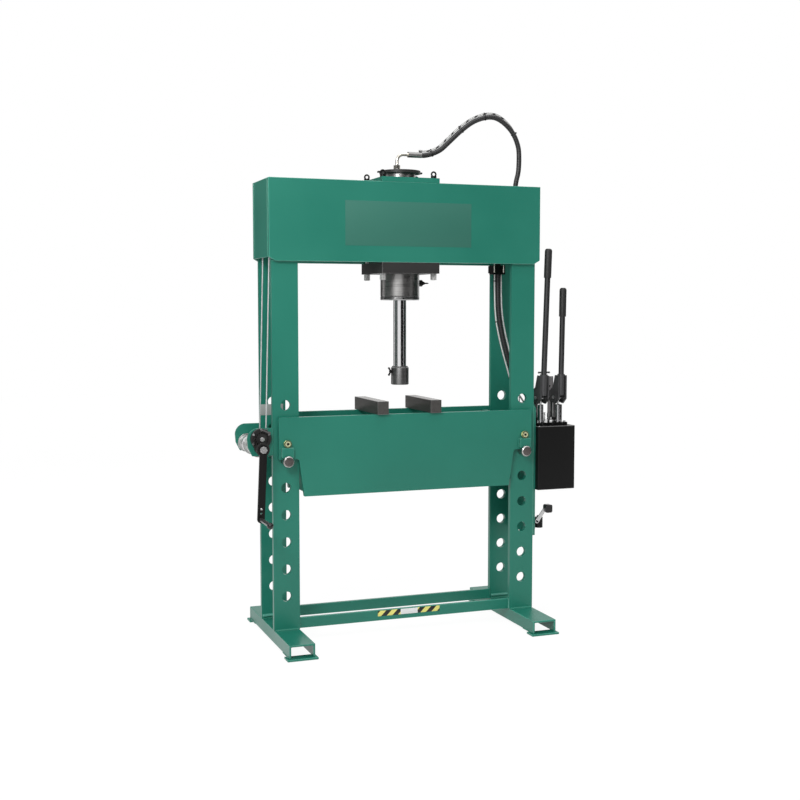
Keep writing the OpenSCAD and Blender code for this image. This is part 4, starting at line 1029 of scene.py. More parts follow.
@dataclass
class Studio:
    """Camera, lamps, world and floor."""

    eye: Point = (-1.7864, -4.8440, 1.3868)
    yaw_deg: float = 20.30
    pitch_deg: float = 4.42
    lens_mm: float = 54.30
    sensor_mm: float = 36.0
    view_depth: float = 100.0
    world_light: float = 0.59
    world_seen: float = 1.0
    floor_half: float = 14.0
    floor_z: float = -0.0005
    floor_tone: float = 0.7
    floor_roughness: float = 0.9
    floor_glow: float = 1.09
    floor_seen: float = 0.86
    card_depth: float = 0.02
    cards: Tuple[Card, ...] = (
        Card((2.6, -6.4, 0), 7.0, 3.6, 12.0, 0.03), Card((6.3, -1.2, 0), 8.0, 3.6, 90.0, 0.03),
        Card((-6.4, 0.6, 0), 8.4, 3.6, 90.0, 0.22), Card((-2.4, 6.8, 0), 6.0, 3.6, 0.0, 0.10))
    lamps: Tuple[Lamp, ...] = (
        Lamp("key", (-2.25, -2.7, 3.0), (0, 0, 1.4), 1.15, 70.0),
        Lamp("fill", (3.6, -4.2, 2.4), (0, 0, 1.2), 1.6, 25.0, mirrored=False),
        Lamp("top", (0, -0.5, 4.8), (0, 0, 1.0), 2.4, 35.0))

    def camera(self) -> None:
        """Sets the camera at the viewing angle."""
        data = bpy.data.cameras.new("camera")
        data.lens = self.lens_mm
        data.sensor_width = self.sensor_mm
        data.clip_end = self.view_depth
        camera = stand("camera", data)
        yaw, pitch = math.radians(self.yaw_deg), math.radians(self.pitch_deg)
        look = Vector((math.sin(yaw) * math.cos(pitch), math.cos(yaw) * math.cos(pitch), -math.sin(pitch)))
        camera.location = self.eye
        camera.rotation_euler = look.to_track_quat("-Z", "Y").to_euler()
        bpy.context.scene.camera = camera

    @staticmethod
    def light(lamp: Lamp) -> None:
        """Stands a lamp.

        Args:
            lamp: the lamp.
        """
        data = bpy.data.lights.new(lamp.name, "AREA")
        data.size = lamp.size
        data.energy = lamp.power
        light = stand(lamp.name, data)
        light.location = lamp.place
        light.visible_glossy = lamp.mirrored
        aim = Vector(lamp.aim) - Vector(lamp.place)
        light.rotation_euler = aim.to_track_quat("-Z", "Y").to_euler()

    def world(self) -> None:
        """Sets an even world that shows white behind the press."""
        world = bpy.data.worlds.new("studio")
        bpy.context.scene.world = world
        world.use_nodes = True
        graph = Graph(world.node_tree)
        shade = graph.feed(graph.tree.nodes["Background"], {"Color": WHITE, "Strength": self.world_light})
        seen = graph.node("Background", {"Color": WHITE, "Strength": self.world_seen})
        graph.two_faced(graph.looked_at(), shade, seen, "World Output")

    @staticmethod
    def prop(name: str, mesh: bpy.types.Mesh, tone: float) -> Tuple[bpy.types.Object, Graph, Node]:
        """Stands a piece of the studio in plain grey paint.

        Args:
            name: its name.
            mesh: its mesh.
            tone: its grey.

        Returns:
            The object, its material's graph and its shader.
        """
        material = bpy.data.materials.new(f"{name}_paint")
        material.use_nodes = True
        graph = Graph(material.node_tree)
        shader = graph.feed(graph.tree.nodes["Principled BSDF"], {"Base Color": (tone, tone, tone, 1)})
        mesh.materials.append(material)
        return stand(name, mesh), graph, shader

    def floor(self) -> None:
        """Lays a pale floor that keeps the press's shadow."""
        stock = Stock()
        bmesh.ops.create_grid(stock.bm, x_segments=1, y_segments=1, size=self.floor_half)
        floor, graph, shader = self.prop("floor", stock.mesh("floor"), self.floor_tone)
        floor.location.z = self.floor_z
        graph.feed(shader, {"Roughness": self.floor_roughness})
        glow = graph.node("Emission", {"Strength": self.floor_glow})
        share = graph.math("MULTIPLY", graph.looked_at(), self.floor_seen)
        graph.two_faced(share, shader, glow, "Material Output")

    def stand_card(self, name: str, card: Card) -> None:
        """Stands a grey card.

        Args:
            name: its name.
            card: the card.
        """
        stock = Stock()
        stock.cube(Matrix.Translation(Vector(card.foot) + Vector((0, 0, card.height / 2)))
                   @ Matrix.Rotation(math.radians(card.turn_deg), 4, "Z")
                   @ Matrix.Diagonal((card.width, self.card_depth, card.height, 1.0)))
        piece, graph, shader = self.prop(name, stock.mesh(name), card.tone)
        graph.feed(shader, {"Specular IOR Level": 0.0})
        piece.visible_camera = piece.visible_diffuse = piece.visible_shadow = False

    def build(self) -> None:
        """Sets the whole studio."""
        bpy.context.scene.view_settings.view_transform = "Standard"
        self.camera()
        self.world()
        self.floor()
        for index, card in enumerate(self.cards):
            self.stand_card(f"card_{index}", card)
        for lamp in self.lamps:
            self.light(lamp)


# ---- Sub-assemblies ----


@dataclass
class HoseRun:
    """The pressure hose, the light tube tied to it, their ties and their clamp."""

    smith: Smith
    hose_d: float = 0.021
    tube_d: float = 0.008
    return_d: float = 0.007
    strap_gap: float = 0.0008
    strap_r: float = 0.0011
    strap_rows: Tuple[float, ...] = (-0.0013, 0.0, 0.0013)
    strap_steps: Tuple[int, int] = (24, 12)
    strap_head: float = 0.003
    strap_head_out: float = 0.001
    strap_head_bevel: float = 0.0006
    crimp_wall: float = 0.0012
    crimp_lip: float = 0.0016
    crimp_bite: float = 0.001
    crimp_start: float = 0.002
    crimp_len: float = 0.034
    crimp_starts: Tuple[float, ...] = (0.14, 0.34, 0.54, 0.74)
    crimp_shape: Point = (0.03, 0.09, 0.12)
    bolt_x: Pair = (0.4465, 0.491)
    bolt_r: float = 0.0045
    bolt_sunk: float = 0.008
    bolt_y: float = 0.0005
    ties: Tuple[Point, ...] = ((0.146, 0, 2.036), (0.288, 0, 2.143), (0.404, 0, 2.203), (0.535, 0, 2.135),
                               (0.473, 0.02, 1.50), (0.483, 0.02, 1.323), (0.55, 0.022, 1.085))
    hose_route: Tuple[Point, ...] = (
        (0.102, 0, 2.029), (0.118, 0, 2.029), (0.150, 0, 2.037), (0.190, 0, 2.056), (0.228, 0, 2.089),
        (0.288, 0, 2.143), (0.347, 0, 2.184), (0.414, 0, 2.205), (0.468, 0, 2.196), (0.524, 0, 2.152),
        (0.555, 0, 2.093), (0.562, 0, 2.038), (0.559, 0, 1.977), (0.547, 0, 1.924), (0.543, 0.002, 1.860),
        (0.541, 0.004, 1.790), (0.536, 0.008, 1.720), (0.518, 0.013, 1.655), (0.490, 0.018, 1.610),
        (0.473, 0.020, 1.570), (0.473, 0.020, 1.540), (0.473, 0.020, 1.500), (0.474, 0.020, 1.440),
        (0.476, 0.020, 1.385), (0.483, 0.020, 1.323), (0.499, 0.020, 1.248), (0.518, 0.020, 1.180),
        (0.535, 0.020, 1.127), (0.552, 0.022, 1.080), (0.577, 0.027, 1.040), (0.608, 0.034, 1.012),
        (0.638, 0.040, 0.985), (0.658, 0.044, 0.955), (0.665, 0.045, 0.930), (0.665, 0.045, 0.915))
    tube_route: Tuple[Point, ...] = (
        (0.104, 0, 2.046), (0.120, 0, 2.046), (0.146, 0, 2.052), (0.181, 0, 2.069), (0.217, 0, 2.101),
        (0.278, 0, 2.156), (0.340, 0, 2.198), (0.412, 0, 2.221), (0.474, 0.004, 2.210),
        (0.534, 0.010, 2.160), (0.558, 0.016, 2.093), (0.562, 0.016, 2.038), (0.559, 0.016, 1.977),
        (0.547, 0.016, 1.924), (0.542, 0.019, 1.860), (0.536, 0.024, 1.790), (0.527, 0.029, 1.720),
        (0.503, 0.031, 1.655), (0.472, 0.027, 1.610), (0.457, 0.020, 1.570), (0.457, 0.020, 1.540),
        (0.457, 0.020, 1.500), (0.458, 0.020, 1.440), (0.460, 0.020, 1.380), (0.467, 0.020, 1.316),
        (0.483, 0.020, 1.243), (0.502, 0.020, 1.174), (0.519, 0.020, 1.120), (0.536, 0.022, 1.068),
        (0.560, 0.028, 1.022), (0.590, 0.036, 0.990), (0.614, 0.043, 0.960), (0.625, 0.045, 0.935),
        (0.625, 0.045, 0.915))
    return_route: Tuple[Point, ...] = (
        (0.4885, 0.020, 1.532), (0.4885, 0.020, 1.500), (0.4895, 0.020, 1.440), (0.4918, 0.020, 1.385),
        (0.4990, 0.020, 1.325), (0.5150, 0.020, 1.251), (0.5340, 0.020, 1.183), (0.5510, 0.020, 1.131),
        (0.5680, 0.021, 1.087), (0.5930, 0.022, 1.052), (0.6220, 0.024, 1.026), (0.6500, 0.024, 1.002),
        (0.6680, 0.023, 0.970), (0.6755, 0.022, 0.935), (0.6760, 0.022, 0.910), (0.6760, 0.022, 0.890))

    def cord(self, name: str, node: Optional[str], route: Sequence[Point], diameter: float,
             coat: Coat) -> List[Vector]:
        """Args:
            name: the piece's name.
            node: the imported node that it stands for, if any.
            route: its route.
            diameter: its diameter.
            coat: its finish and slot.

        Returns:
            Its centre line.
        """
        line = smooth_route(route)
        stock = Stock()
        stock.tube(line, diameter / 2, sides=20)
        piece = self.smith.finish(stock, name, coat, smooth_deg=self.smith.cord_smooth_deg)
        if node:
            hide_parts(node)
        return line

    def tie(self, ties: Stock, first: Sequence[Vector], second: Sequence[Vector], near: Point) -> None:
        """Straps the two hoses together with a cable tie.

        Args:
            ties: the ties' stock.
            first: the hose's centre line.
            second: the tube's centre line.
            near: the place on the hose.
        """
        i = min(range(1, len(first) - 1), key=lambda k: (first[k] - Vector(near)).length)
        a = first[i]
        b = min(second, key=lambda p: (p - a).length)
        way = (first[i + 1] - first[i - 1]).normalized()
        across = (b - a - way * (b - a).dot(way)).normalized()
        side = way.cross(across)
        big, small = self.hose_d / 2 + self.strap_gap, self.tube_d / 2 + self.strap_gap
        apart = (b - a).dot(across)
        lean = math.acos((big - small) / apart) if apart > big - small else math.pi / 2

        def arc(centre: Vector, radius: float, start: float, sweep: float, steps: int) -> List[Vector]:
            """The strap's run round one of the two hoses."""
            angles = [start + sweep * k / steps for k in range(steps + 1)]
            return [centre + (across * math.cos(t) + side * math.sin(t)) * radius for t in angles]

        loop = arc(a, big, lean, 2 * math.pi - 2 * lean, self.strap_steps[0])
        loop += arc(a + across * apart, small, -lean, 2 * lean, self.strap_steps[1])
        loop.append(loop[0].copy())
        for shift in self.strap_rows:
            ties.tube([p + way * shift for p in loop], self.strap_r, sides=6)
        head = a + side * (big + self.strap_head_out)
        half = Vector((self.strap_head, self.strap_head, self.strap_head))
        ties.block(head - half, head + half, self.strap_head_bevel)

    def ferrule(self) -> None:
        """Adds the crimped ferrule with its rings round the hose's lower end."""
        r = self.hose_d / 2 + self.crimp_wall
        lip, bore, length = r + self.crimp_lip, self.hose_d / 2 - self.crimp_bite, self.crimp_len
        down, up, end = (length * share for share in self.crimp_shape)
        profile = [(bore, 0.0), (lip, 0.0)]
        for start in self.crimp_starts:
            z = length * start
            profile += [(lip, z), (r, z + down), (r, z + up), (lip, z + end)]
        profile += [(lip, length), (bore, length)]
        x, y, z = self.hose_route[-1]
        stock = Stock()
        stock.lathe(profile, (x, y, z - self.crimp_start))
        self.smith.finish(stock, "hose_ferrule", Coat.BARREL)

    def clamp(self) -> None:
        """Dresses the clamp and adds its bolts."""
        self.smith.soften("hose_clamp", Coat.BLACK)
        low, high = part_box("hose_clamp")
        y = low.y + self.bolt_y
        bolts = Stock()
        for x in self.bolt_x:
            bolts.rod((x, y, low.z + self.bolt_sunk), (x, y, high.z), self.bolt_r, sides=16)
        self.smith.finish(bolts, "clamp_bolts", Coat.PALE_ZINC)

    def build(self) -> None:
        """Builds the hoses, their ferrule and ties, and the clamp."""
        hose = self.cord("pressure_hose", "hose_main", self.hose_route, self.hose_d, Coat.HOSE)
        tube = self.cord("tied_tube", "hose_tube", self.tube_route, self.tube_d, Coat.PALE_TUBE)
        self.cord("return_tube", None, self.return_route, self.return_d, Coat.CLEAR_TUBE)
        ties = Stock()
        for near in self.ties:
            self.tie(ties, hose, tube, near)
        self.smith.finish(ties, "cable_ties", Coat.NYLON)
        self.ferrule()
        self.clamp()


@dataclass(frozen=True)
class Seam:
    """How a weld bead sits: its radius, its distance off the seam and how far in its ends stay."""

    radius: float
    off: float = 0.0005
    inset: float = 0.003


@dataclass(frozen=True)
class Foil:
    """A thin sheet on a face: how far it stands out and goes in, and its edges' bevel."""

    proud: float
    sunk: float
    bevel: float


@dataclass
class Weldment:
    """The welded frame: header, uprights, feet and crossbars."""

    smith: Smith
    plates: Tuple[str, ...] = ("header_front", "header_rear", "header_ends", "upright_front_left",
                               "upright_front_right", "upright_rear_left", "upright_rear_right",
                               "foot_left", "foot_right", "foot_pads", "crossbar_front", "crossbar_rear")
    panel_x: Pair = (-0.281, 0.276)
    panel_z: Pair = (1.636, 1.818)
    tape_x: Pair = (-0.133, 0.148)
    tape_below: Pair = (0.026, 0.003)
    label_x: Pair = (0.003, 0.100)
    label_z: Pair = (0.932, 0.978)
    panel_foil: Foil = Foil(0.0007, 0.0005, 0.0003)
    sticker_foil: Foil = Foil(0.0006, 0.0004, 0.0002)
    foot_seam: Seam = Seam(0.0045, off=0.001)
    post_seam: Seam = Seam(0.0045, inset=0.002)
    bar_seam: Seam = Seam(0.004)
    head_seam: Seam = Seam(0.0022, off=0.0002, inset=0.004)
    joint_seam: Seam = Seam(0.003, inset=0.002)
    joint_drop: float = 0.0145
    inner_seam: Seam = Seam(0.007, inset=0.006)
    inner_end: float = 0.003
    inner_drop: float = 0.031
    inner_post_off: float = 0.001
    pad_seam: Seam = Seam(0.0028, off=0.001)
    pad_len: float = 0.085
    pad_inset: Pair = (0.012, 0.10)

    def sheet(self, name: str, coat: Coat, x: Pair, y: float, z: Pair, foil: Foil) -> None:
        """Lays a thin sheet on a front face.

        Args:
            name: the piece's name.
            coat: its finish and slot.
            x: where it starts and ends across.
            y: the face that it lies on.
            z: where it starts and ends in height.
            foil: how it lies there.
        """
        stock = Stock()
        stock.block((x[0], y - foil.proud, z[0]), (x[1], y + foil.sunk, z[1]), foil.bevel)
        self.smith.finish(stock, name, coat)

    def sheets(self) -> None:
        """Adds the header's bare panel, the hazard tape and the rear upright's bare label."""
        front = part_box("header_front")[0].y
        self.sheet("header_panel", Coat.PANEL, self.panel_x, front, self.panel_z, self.panel_foil)
        low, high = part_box("crossbar_front")
        z = tuple(high.z - drop for drop in self.tape_below)
        self.sheet("hazard_tape", Coat.TAPE, self.tape_x, low.y, z, self.sticker_foil)
        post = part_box("upright_rear_left")[0]
        x = tuple(post.x + shift for shift in self.label_x)
        self.sheet("bare_label", Coat.BARE_LABEL, x, post.y, self.label_z, self.sticker_foil)

    def frame_welds(self) -> None:
        """Lays the painted beads of the feet, uprights, crossbars and header."""
        post_low, post_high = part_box("upright_front_right")
        bar_low, bar_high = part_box("crossbar_front")
        foot_low, foot_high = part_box("foot_right")
        head_low, head_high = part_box("header_ends")
        foot, post, bar, head, joint = (self.foot_seam, self.post_seam, self.bar_seam, self.head_seam,
                                        self.joint_seam)
        stock = Stock()
        for x, y in CORNERS:
            face, back, near = y * -post_low.y, y * -post_high.y, y * -bar_low.y
            for line in (face, back):
                stock.bead((x * (foot_low.x + foot.inset), x * (foot_high.x - foot.inset)), line,
                           foot_high.z + foot.off, foot.radius)
            stock.bead(x * (bar_high.x + post.off), near, (bar_low.z + post.inset, bar_high.z), post.radius)
            stock.bead(x * bar_high.x, (y * -bar_high.y, near), bar_high.z + bar.off, bar.radius)
            stock.bead(x * (head_high.x + head.off), y * head_high.y,
                       (head_low.z + head.inset, head_high.z - head.inset), head.radius)
            stock.bead((x * (post_low.x + joint.inset), x * (post_high.x - joint.inset)),
                       face + y * joint.off, head_low.z - self.joint_drop, joint.radius)
        self.smith.finish(stock, "frame_welds", Coat.WELD)

    def crossbar_welds(self) -> None:
        """Lays the glossy beads, painted lighter as a highlight, where the rear uprights meet the
        crossbars.
        """
        post_low, post_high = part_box("upright_front_right")
        bar_low, bar_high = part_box("crossbar_front")
        inner, post = self.inner_seam, self.post_seam
        stock = Stock()
        for x in SIDES:
            stock.bead((x * (post_low.x + inner.inset), x * (post_high.x - self.inner_end)),
                       -post_high.y - inner.off, bar_high.z - self.inner_drop, inner.radius)
            stock.bead(x * (bar_high.x + self.inner_post_off), bar_low.y - post.off,
                       (bar_low.z + post.inset, bar_high.z + self.inner_post_off), post.radius)
        self.smith.finish(stock, "crossbar_welds", Coat.WELD_GLOSS_HIGHLIGHT)

    def pad_welds(self) -> None:
        """Lays the beads that join the foot pads to the feet."""
        low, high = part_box("foot_right")
        stock = Stock()
        for x in (low.x, high.x, -low.x, -high.x):
            for y in (low.y + self.pad_inset[0], high.y - self.pad_inset[1]):
                stock.bead(x, (y, y + self.pad_len), low.z + self.pad_seam.off, self.pad_seam.radius)
        self.smith.finish(stock, "pad_welds", Coat.WELD)

    def build(self) -> None:
        """Dresses the plates and adds what lies on them."""
        for node in self.plates:
            # The plates' rounded edges get a lighter green: painted highlight.
            self.smith.soften(node, Coat.GREEN, edge="edge_highlight_enamel")
        self.sheets()
        self.frame_welds()
        self.crossbar_welds()
        self.pad_welds()


@dataclass
class Cylinder:
    """The clamped cylinder with its ram."""

    smith: Smith
    ferrule_x: float = 0.041
    past: float = 0.01
    line_depth: float = 0.002
    line_half: float = 0.0008
    proud: float = 0.0002
    spanner_holes: int = 6
    hole_r: float = 0.0034
    hole_len: float = 0.0023
    hole_start_deg: float = 20.0

    def gland(self) -> None:
        """Marks the gland's joint line, and paints shade in its spanner holes with black discs."""
        low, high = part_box("gland_ring")
        x, r = (low.x + high.x) / 2, (high.x - low.x) / 2
        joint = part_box("cylinder_barrel")[0].z
        inner, outer, half = r - self.line_depth, r + self.proud, self.line_half
        stock = Stock()
        stock.lathe([(inner, -half), (outer, -half), (outer, half), (inner, half)], (x, 0, joint), steps=96)
        for k in range(self.spanner_holes):
            angle = math.radians(self.hole_start_deg + 360 / self.spanner_holes * k)
            way = Vector((math.cos(angle), math.sin(angle), 0))
            foot = Vector((x, 0, (low.z + joint) / 2)) + way * inner
            # Black discs set almost flush stand in for the holes' insides: painted shade.
            stock.rod(foot, foot + way * self.hole_len, self.hole_r, sides=16)
        self.smith.finish(stock, "gland_line_and_hole_shade", Coat.BLACK)

    def build(self) -> None:
        """Dresses the cylinder's and the ram's nodes."""
        s = self.smith
        # The flange's rounded edges get pale zinc: painted highlight.
        s.soften("cylinder_flange", Coat.SATIN, edge="worn_zinc_and_edge_highlight")
        s.soften("top_plate", Coat.GREEN)
        s.soften("cylinder_barrel", Coat.BARREL, edge="bright_steel")
        s.soften("gland_ring", Coat.TURNED, edge="bright_steel")
        # The cap's rounded rim gets polished steel: painted highlight.
        s.soften("head_cap", Coat.SATIN, edge="polished_steel_and_edge_highlight")
        s.soften("clamp_studs", Coat.WORN_ZINC)
        s.paint("eye_nuts", "black_enamel")
        low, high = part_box("hose_elbow")
        past = self.past
        s.soften("hose_elbow", Coat.ELBOW, [
            Inlay("barrel_steel", (self.ferrule_x, low.y - past, low.z),
                  (high.x + past, high.y + past, high.z + past))])
        s.soften("bleed_fitting", Coat.BLACK)
        s.paint("ram_rod", "hard_chrome")
        s.soften("nose", Coat.TURNED, edge="bright_steel")
        s.paint("nose_screw", "black_enamel")
        self.gland()


@dataclass
class Bed:
    """The bed with its pins and arbor bars."""

    smith: Smith
    saddle_w: float = 0.050
    top_skin: float = 0.0005
    pin_face_y: Pair = (-0.001, 0.0006)
    saddle_seam: Seam = Seam(0.0028, inset=0.002)
    spacer_x: float = 0.455
    spacer_seam: Seam = Seam(0.0035, inset=0.01)
    bolt_half: float = 0.01525
    washer_r: float = 0.0157
    washer_t: float = 0.0022
    socket_shade_r: float = 0.006
    socket_shade_y: Pair = (0.001, -0.0002)
    rim_shade_profile: Tuple[Pair, ...] = ((0.0112, 0.0004), (0.0112, -0.0004), (0.0151, -0.0004),
                                     (0.0154, 0.0004))

    def welds(self) -> None:
        """Lays the beads round the pin saddles and at the spacers' ends."""
        low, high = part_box("pin_saddles")
        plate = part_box("bed_front")[0]
        spacer_low, spacer_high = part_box("bed_spacers")
        saddle, spacer = self.saddle_seam, self.spacer_seam
        stock = Stock()
        for x, y in CORNERS:
            face = y * -plate.y
            edges = (x * (high.x - self.saddle_w), x * high.x)
            for edge in edges:
                stock.bead(edge, face, (low.z + saddle.inset, high.z), saddle.radius)
            stock.bead(edges, face, high.z, saddle.radius)
            stock.bead(x * self.spacer_x, y * spacer_high.y, (spacer_low.z + spacer.inset, spacer_high.z),
                       spacer.radius)
        self.smith.finish(stock, "bed_welds", Coat.WELD, "bed")

    def bolts(self) -> None:
        """Adds the ear bolts' washers, and on the front ones a black hex socket and a dark ring at the
        head's rim, both painted shade.
        """
        low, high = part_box("ear_bolts")
        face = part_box("bed_front")[0].y
        across, z = high.x - self.bolt_half, (low.z + high.z) / 2
        washers, socket_shades, rim_shades = Stock(), Stock(), Stock()
        for x, y in CORNERS:
            place = Vector((x * across, y * -face, z))
            washers.rod(place, place + Vector((0, y * self.washer_t, 0)), self.washer_r)
        for x in SIDES:
            place = Vector((x * across, low.y, z))
            back, front = (place + Vector((0, y, 0)) for y in self.socket_shade_y)
            # A black hex stands in for the socket and a dark ring for the head's rim: painted shade.
            socket_shades.rod(back, front, self.socket_shade_r, sides=6)
            rim_shades.lathe(self.rim_shade_profile, place, Axis.Y)
        self.smith.finish(washers, "ear_washers", Coat.PAINTED_WASHER, "bed")
        self.smith.finish(socket_shades, "ear_bolt_socket_shades", Coat.BLACK, "bed")
        self.smith.finish(rim_shades, "ear_bolt_rim_shades", Coat.RIM_SHADE, "bed")

    def build(self) -> None:
        """Dresses the bed's nodes."""
        s = self.smith
        for node in ("bed_front", "bed_rear", "bed_spacers", "pin_saddles"):
            # The rounded edges get a lighter green: painted highlight.
            s.soften(node, Coat.GREEN, edge="edge_highlight_enamel")
        # The bolt heads' rounded rims get dark olive: painted shade.
        s.soften("ear_bolts", Coat.YELLOW, edge="bolt_rim_shade")
        s.soften("rope_ends", Coat.BRIGHT)
        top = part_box("arbor_bars")[1].z
        s.soften("arbor_bars", Coat.MILLED, edge="turned_dark", inlays=[
            Inlay("milled_top", (-1, -1, top - self.top_skin), (1, 1, top + self.top_skin))])
        for node in ("pin_left", "pin_right"):
            low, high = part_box(node)
            front, back = (low.y + shift for shift in self.pin_face_y)
            s.soften(node, Coat.PIN, [Inlay("pin_face", (low.x, front, low.z), (high.x, back, high.z))])
        self.welds()
        self.bolts()


@dataclass
class LiftingGear:
    """Winch, sheaves and wire ropes."""

    smith: Smith
    rope_r: float = 0.003
    sheave_r: float = 0.026
    drum_rope_r: float = 0.0343
    turns: int = 3
    pitch: float = 0.0063
    turn_steps: int = 28
    strands: int = 6
    strand_depth: float = 0.0006
    strand_lay: float = 0.05
    lay_back: float = 0.1
    straight_steps: int = 40
    drum: Pair = (-0.642, 0.819)
    brake: Point = (-0.637, 0.857, -0.135)
    wheel_r: float = 0.0285
    teeth: int = 16
    tooth_r: float = 0.027
    tooth: Point = (0.010, 0.004, 0.0055)
    hub_r: float = 0.015
    cover_bolts: int = 5
    cover_r: float = 0.0365
    cover_start_deg: float = 30.0
    cover_step_deg: float = 60.0
    hub_nut: Pair = (0.017, 0.006)
    cover_bolt: Pair = (0.009, 0.005)
    wheel_depth: Pair = (0.0005, 0.0045)
    tooth_depth: float = 0.0025
    hub_depth: Pair = (0.004, 0.012)
    cover_depth: float = -0.004
    pawl_at: Pair = (0.030, 0.024)
    pawl_tip: Pair = (0.006, 0.034)
    pawl_depth: Point = (-0.003, 0.004, 0.009)
    pawl_pin_r: float = 0.006
    pawl_r: Pair = (0.0042, 0.003)
    coil_from: Pair = (0.026, 0.038)
    coil_run: Pair = (0.030, 0.004)
    coil_r: float = 0.003
    coil_wire_r: float = 0.0008
    coil_depth: float = 0.006
    coil_steps: int = 60
    coil_step_angle: float = 0.9
    crank_arm: Pair = (-0.189, -0.180)
    arm_skin: float = 0.0002
    collar_r: float = 0.0275
    collar_y: Pair = (-0.0002, 0.004)
    crank_washer: Tuple[Pair, ...] = ((0.002, 0.0), (0.0108, 0.0), (0.0108, -0.0012), (0.002, -0.0012))
    rivet: Pair = (-0.6523, 0.5822)
    rivet_size: Pair = (0.0048, 0.002)
    ball_len: float = 0.0225
    plate_seam: Seam = Seam(0.003)
    sheave_z: float = 1.740
    sheave_x: Pair = (-0.557, 0.505)
    lanes: Pair = (0.020, -0.085)
    wrap_start_deg: float = 178.0
    wrap_top_deg: float = 90.0
    drop_x: Pair = (-0.531, 0.531)
    bed_travel: float = 0.235

    def ahead(self, depth: float, dx: float = 0.0, dz: float = 0.0) -> Vector:
        """The point so far in front of the brake's middle, and so far beside and above it."""
        x, z, y = self.brake
        return Vector((x + dx, y - depth, z + dz))

    def ratchet(self) -> None:
        """Adds the brake's toothed wheel and its hub."""
        wheel = Stock()
        back, front = (self.ahead(depth) for depth in self.wheel_depth)
        wheel.rod(back, front, self.wheel_r, sides=48)
        for k in range(self.teeth):
            angle = 2 * math.pi * k / self.teeth
            way = Vector((math.cos(angle), 0, math.sin(angle)))
            foot = self.ahead(self.tooth_depth) + way * self.tooth_r
            wheel.cube(Matrix.Translation(foot) @ Matrix.Rotation(-angle, 4, "Y")
                       @ Matrix.Diagonal((*self.tooth, 1.0)))
        back, front = (self.ahead(depth) for depth in self.hub_depth)
        wheel.rod(back, front, self.hub_r)
        self.smith.finish(wheel, "brake_ratchet", Coat.SATIN)

    def brake_bolts(self) -> None:
        """Adds the hub's nut and the cover's bolts."""
        front = (0, -1, 0)
        bolts = Stock()
        bolts.hexagon(self.ahead(self.hub_depth[1]), front, *self.hub_nut)
        for k in range(self.cover_bolts):
            angle = math.radians(self.cover_start_deg + self.cover_step_deg * k)
            foot = self.ahead(self.cover_depth, self.cover_r * math.cos(angle),
                              self.cover_r * math.sin(angle))
            bolts.hexagon(foot, front, *self.cover_bolt)
        self.smith.finish(bolts, "brake_bolts", Coat.BRIGHT)

    def pawl(self) -> None:
        """Adds the pawl on its pin, with its spring."""
        stock = Stock()
        back, middle, front = self.pawl_depth
        at, tip = self.pawl_at, self.pawl_tip
        stock.rod(self.ahead(back, *at), self.ahead(front, *at), self.pawl_pin_r, sides=20)
        stock.rod(self.ahead(middle, *at), self.ahead(middle, *tip), *self.pawl_r, sides=12)
        coil = []
        for t in range(self.coil_steps + 1):
            angle = t * self.coil_step_angle
            dx = self.coil_from[0] - self.coil_run[0] * t / self.coil_steps
            dz = self.coil_from[1] - self.coil_run[1] * t / self.coil_steps
            coil.append(self.ahead(self.coil_depth - self.coil_r * math.sin(angle), dx,
                                   dz + self.coil_r * math.cos(angle)))
        stock.tube(coil, self.coil_wire_r, sides=6)
        self.smith.finish(stock, "brake_pawl", Coat.TURNED)

    def crank_trim(self) -> None:
        """Adds the crank's hub collar, its washer and the rivet in its arm."""
        front, back = self.crank_arm
        x, z = self.drum
        collar, bright = Stock(), Stock()
        start, end = ((x, back + y, z) for y in self.collar_y)
        collar.rod(start, end, self.collar_r, sides=48)
        bright.lathe(self.crank_washer, (x, front, z), Axis.Y, 40)
        bright.dome((self.rivet[0], front, self.rivet[1]), (0, -1, 0), *self.rivet_size)
        self.smith.finish(collar, "crank_collar", Coat.SATIN, "winch")
        self.smith.finish(bright, "crank_rivet", Coat.BRIGHT, "winch")

    def winch_welds(self) -> None:
        """Lays the beads between the winch plates and the uprights."""
        stock = Stock()
        low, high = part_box("winch_front_plate")
        seam = self.plate_seam
        for side in SIDES:
            stock.bead(high.x, side * (-low.y + seam.off), (low.z + seam.inset, high.z - seam.inset),
                       seam.radius)
        self.smith.finish(stock, "winch_welds", Coat.WELD)

    def rise(self, y: float) -> List[Vector]:
        """The drum turns and the run up to the left sheave.

        Args:
            y: the rope's lane.

        Returns:
            The rope's points, from the drum's last turn to the sheave's left side.
        """
        dx, dz = self.sheave_x[0] - self.drum[0], self.sheave_z - self.drum[1]
        lean = math.atan2(dx, dz) - math.asin((self.drum_rope_r + self.sheave_r) / math.hypot(dx, dz))
        steps = self.turn_steps
        points = []
        for left in range(self.turns * steps, -1, -1):
            angle = lean + 2 * math.pi * left / steps
            points.append(Vector((self.drum[0] + self.drum_rope_r * math.cos(angle),
                                  y + self.pitch * max(0.0, left / steps - self.lay_back),
                                  self.drum[1] - self.drum_rope_r * math.sin(angle))))
        start = points[-1]
        end = Vector((self.sheave_x[0] - self.sheave_r * math.cos(lean), y,
                      self.sheave_z + self.sheave_r * math.sin(lean)))
        run = self.straight_steps
        return points + [start.lerp(end, t / run) for t in range(1, run + 1)]

    def wrap(self, x: float, y: float, start_deg: float, end_deg: float, count: int = 14) -> List[Vector]:
        """Points over a sheave.

        Args:
            x: the sheave's middle.
            y: the rope's lane.
            start_deg: the first angle, counted from +X towards +Z.
            end_deg: the last angle.
            count: the steps between them.

        Returns:
            The points.
        """
        angles = [math.radians(start_deg + (end_deg - start_deg) * i / count) for i in range(count + 1)]
        return [Vector((x + self.sheave_r * math.cos(a), y, self.sheave_z + self.sheave_r * math.sin(a)))
                for a in angles]

